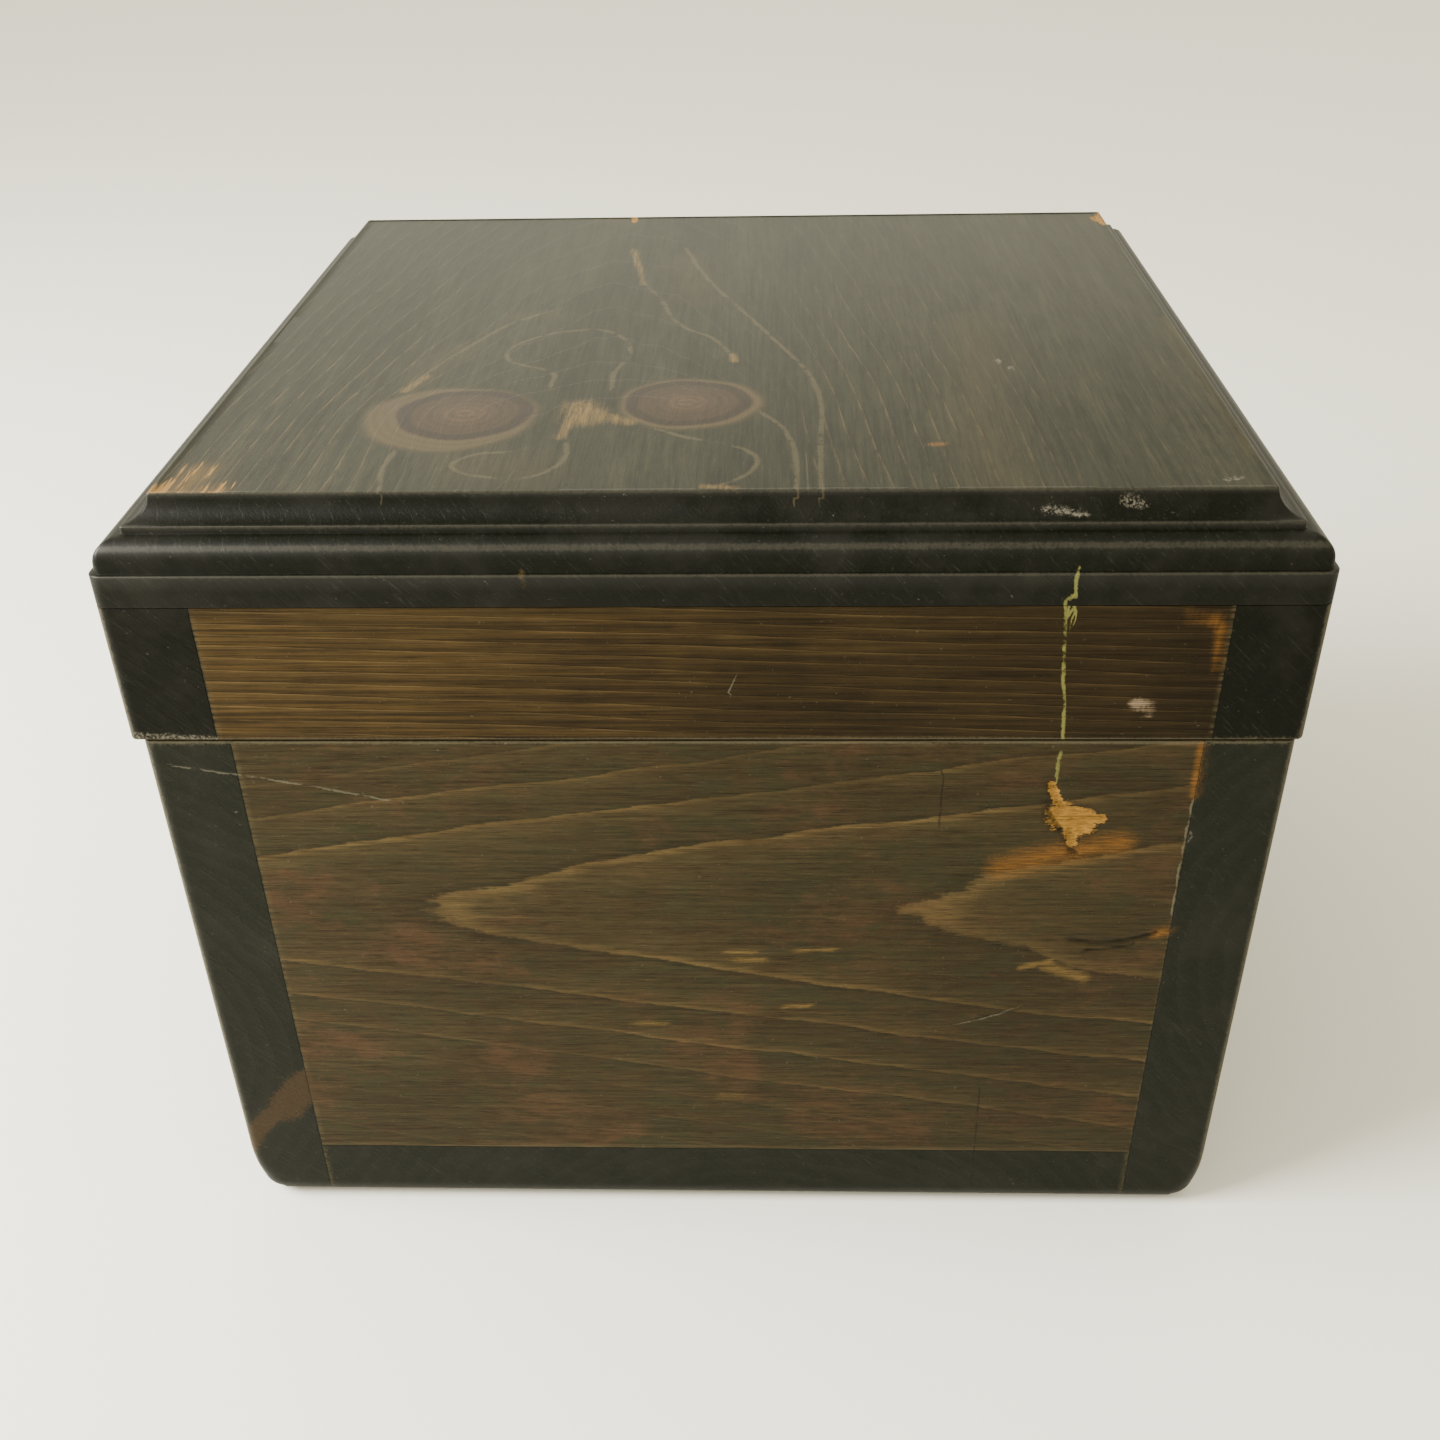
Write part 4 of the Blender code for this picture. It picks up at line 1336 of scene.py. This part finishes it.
def aged_brass(name):
    """Dull brass: tarnish gathers in clouds, with fine drawn lines and small brown spots."""
    finish = Finish(name)
    cloud = finish.noise(finish.place, scale=0.22, detail=4.0, roughness=0.65)
    lines = finish.noise(finish.stretched(X, 0.15, 7.0), detail=2.0)
    spots = finish.noise(finish.place, scale=1.3, detail=3.0, roughness=0.7)
    spotted = spots.rise(0.62, 0.74)
    colour = finish.mix(cloud.rise(0.35, 0.68), tuple(colours().brass), TARNISH)
    colour = finish.mix(spotted * 0.7, colour, BROWN_SPOT)
    colour = finish.tinted(colour, 0.85 + lines * 0.3)
    rough = 0.30 + cloud * 0.22 + lines * 0.08
    metallic = 1 - spotted * 0.35
    height = lines * 0.5 + spots * 0.5
    return finish.surface(colour, rough, height, 0.02, Metallic=metallic)


# Stage


# Half the width of the floor
FLOOR_REACH = 6000.0
WINDOW = {"place": (-0.95, -0.30, 0.80), "target": (-0.10, -0.05, 0.0),
          "size": 0.7, "power": 62.0, "colour": (1.0, 0.97, 0.91)}
WORLD_STRENGTH = 2.5
# The surroundings' colour from straight down to straight up, and its gain from left to right
WORLD_HEIGHTS = (
    (0.0, (1.0, 0.95, 0.78)), (0.42, (0.96, 0.92, 0.71)), (0.56, (0.78, 0.75, 0.58)),
    (0.70, (0.56, 0.54, 0.44)), (1.0, (0.52, 0.50, 0.46)))
WORLD_SIDES = (
    (0.0, (1.20, 1.20, 1.22)), (0.40, (1.07, 1.07, 1.07)), (0.60, (0.88, 0.87, 0.84)),
    (1.0, (0.80, 0.75, 0.62)))


def make_floor():
    """A wide flat floor of pale board with the faintest mottle."""
    steps = np.linspace(-FLOOR_REACH, FLOOR_REACH, 25)
    x, y = np.meshgrid(steps, steps, indexing="ij")
    points = np.stack((x, y, np.zeros_like(x)), -1).reshape(-1, 3)
    index = np.arange(points.shape[0]).reshape(x.shape)
    corners = (index[:-1, :-1], index[1:, :-1], index[1:, 1:], index[:-1, 1:])
    quads = np.stack(corners, -1).reshape(-1, 4)
    finish = Finish("floor_paint")
    mottle = finish.noise(finish.place, scale=0.004, detail=3.0)
    pale = tuple(colours().floor)
    colour = finish.tinted(pale, 0.985 + mottle * 0.03)
    material = finish.surface(colour, 0.55 + mottle * 0.05, mottle, 0.05, Specular_IOR_Level=0.3)
    floor = write_mesh("floor", points, quads, {}, material, smooth=False)


def add_area_light(name, place, target, size, power, colour):
    """A square lamp that looks at a point; lengths in metres."""
    lamp = bpy.data.lights.new(name, "AREA")
    lamp.shape = "SQUARE"
    lamp.size = size
    lamp.energy = power
    lamp.color = colour
    holder = bpy.data.objects.new(name, lamp)
    aim = Vector(target) - Vector(place)
    holder.matrix_world = (
        Matrix.Translation(place) @ aim.to_track_quat("-Z", "Y").to_matrix().to_4x4())
    bpy.context.scene.collection.objects.link(holder)


def set_world():
    """Studio surroundings: brighter and warmer below the horizon and towards the left."""
    world = bpy.data.worlds.new("studio")
    world.use_nodes = True
    tree = world.node_tree
    background = tree.nodes["Background"]
    place = tree.nodes.new("ShaderNodeTexCoord")
    split = tree.nodes.new("ShaderNodeSeparateXYZ")
    ramp = tree.nodes.new("ShaderNodeValToRGB")
    set_stops(ramp.color_ramp, WORLD_HEIGHTS)
    side = tree.nodes.new("ShaderNodeMapRange")
    side.inputs["From Min"].default_value = -1.0
    warmth = tree.nodes.new("ShaderNodeValToRGB")
    set_stops(warmth.color_ramp, WORLD_SIDES)
    both = tree.nodes.new("ShaderNodeVectorMath")
    both.operation = "MULTIPLY"
    tree.links.new(place.outputs["Generated"], split.inputs[0])
    tree.links.new(split.outputs["Z"], ramp.inputs[0])
    tree.links.new(split.outputs["X"], side.inputs["Value"])
    tree.links.new(side.outputs[0], warmth.inputs[0])
    tree.links.new(ramp.outputs[0], both.inputs[0])
    tree.links.new(warmth.outputs[0], both.inputs[1])
    tree.links.new(both.outputs[0], background.inputs["Color"])
    background.inputs["Strength"].default_value = WORLD_STRENGTH
    bpy.context.scene.world = world


# Where the camera stands, from the middle of the front's foot, and how it is turned
CAMERA_FROM_FRONT = (0.01349, -0.286827, 0.319085)
CAMERA_PITCH = 34.88
CAMERA_YAW = -2.339
CAMERA_ROLL = -1.243
CAMERA_LENS = 39.70
CAMERA_SHIFT = 0.0764


def add_camera():
    """The camera, turned down by its pitch, aside by its yaw and about its view by its roll."""
    pitch, yaw, roll = (math.radians(turn) for turn in (CAMERA_PITCH, CAMERA_YAW, CAMERA_ROLL))
    view = Vector((
        math.sin(yaw) * math.cos(pitch), math.cos(yaw) * math.cos(pitch), -math.sin(pitch)))
    level = Vector((math.cos(yaw), -math.sin(yaw), 0.0))
    upright = level.cross(view)
    right = math.cos(roll) * level + math.sin(roll) * upright
    up = math.cos(roll) * upright - math.sin(roll) * level
    data = bpy.data.cameras.new("camera")
    data.sensor_width = 36.0
    data.lens = CAMERA_LENS
    data.shift_y = CAMERA_SHIFT
    data.clip_start = 0.01
    data.clip_end = 50.0
    camera = bpy.data.objects.new("camera", data)
    turn = Matrix((right, up, -view)).transposed().to_4x4()
    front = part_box("base_front")[0].y
    place = Vector(CAMERA_FROM_FRONT) + Vector((0.0, front, 0.0))
    camera.matrix_world = Matrix.Translation(place) @ turn
    bpy.context.scene.collection.objects.link(camera)
    bpy.context.scene.camera = camera


# Operators and panel


class PINEBOX_OT_stage(bpy.types.Operator):
    """Adds the floor, the light and the camera"""

    bl_idname = "pinebox.stage"
    bl_label = "Stage"

    def execute(self, context):
        make_floor()
        set_world()
        add_area_light("window", **WINDOW)
        add_camera()
        return {"FINISHED"}


class PINEBOX_OT_base_boards(bpy.types.Operator):
    """Makes the five boards of the base"""

    bl_idname = "pinebox.base_boards"
    bl_label = "Base boards"

    def execute(self, context):
        for board in BOARDS:
            if board.body == "base":
                make_board(board)
        return {"FINISHED"}


class PINEBOX_OT_lid_boards(bpy.types.Operator):
    """Makes the four boards of the lid's frame"""

    bl_idname = "pinebox.lid_boards"
    bl_label = "Lid boards"

    def execute(self, context):
        for board in BOARDS:
            if board.body == "lid" and board.node != "lid_top":
                make_board(board)
        return {"FINISHED"}


class PINEBOX_OT_moulded_top(bpy.types.Operator):
    """Makes the knotty top board and its moulding"""

    bl_idname = "pinebox.moulded_top"
    bl_label = "Moulded top"

    def execute(self, context):
        make_moulded_top(BOARDS[-1])
        return {"FINISHED"}


class PINEBOX_OT_fittings(bpy.types.Operator):
    """Gives the hinges and screws their aged brass"""

    bl_idname = "pinebox.fittings"
    bl_label = "Hinges and screws"

    def execute(self, context):
        brass = aged_brass("aged_brass")
        for name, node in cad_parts.items():
            if name.startswith(("hinge_", "screw_")):
                node.data.materials.clear()
                node.data.materials.append(brass)
        return {"FINISHED"}


class PINEBOX_PT_panel(bpy.types.Panel):
    """Lists the sizes, the colours and the steps that build the box"""

    bl_idname = "PINEBOX_PT_panel"
    bl_label = "Pine Box"
    bl_space_type = "VIEW_3D"
    bl_region_type = "UI"
    bl_category = "Pine Box"

    def draw(self, context):
        for group in (context.scene.pinebox_sizes, context.scene.pinebox_colours):
            box = self.layout.box()
            for key in group.__annotations__:
                box.prop(group, key)
        for step in STEPS:
            self.layout.operator(step.bl_idname)


STEPS = (
    PINEBOX_OT_stage,
    PINEBOX_OT_base_boards,
    PINEBOX_OT_lid_boards,
    PINEBOX_OT_moulded_top,
    PINEBOX_OT_fittings,
)
CLASSES = (PINEBOX_PG_sizes, PINEBOX_PG_colours, *STEPS, PINEBOX_PT_panel)


def register():
    for item in CLASSES:
        bpy.utils.register_class(item)
    bpy.types.Scene.pinebox_sizes = bpy.props.PointerProperty(type=PINEBOX_PG_sizes)
    bpy.types.Scene.pinebox_colours = bpy.props.PointerProperty(type=PINEBOX_PG_colours)


def unregister():
    del bpy.types.Scene.pinebox_colours
    del bpy.types.Scene.pinebox_sizes
    for item in reversed(CLASSES):
        bpy.utils.unregister_class(item)


def main():
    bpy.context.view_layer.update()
    register()
    for step in STEPS:
        group, name = step.bl_idname.split(".")
        getattr(getattr(bpy.ops, group), name)()


if __name__ == "__main__":
    main()
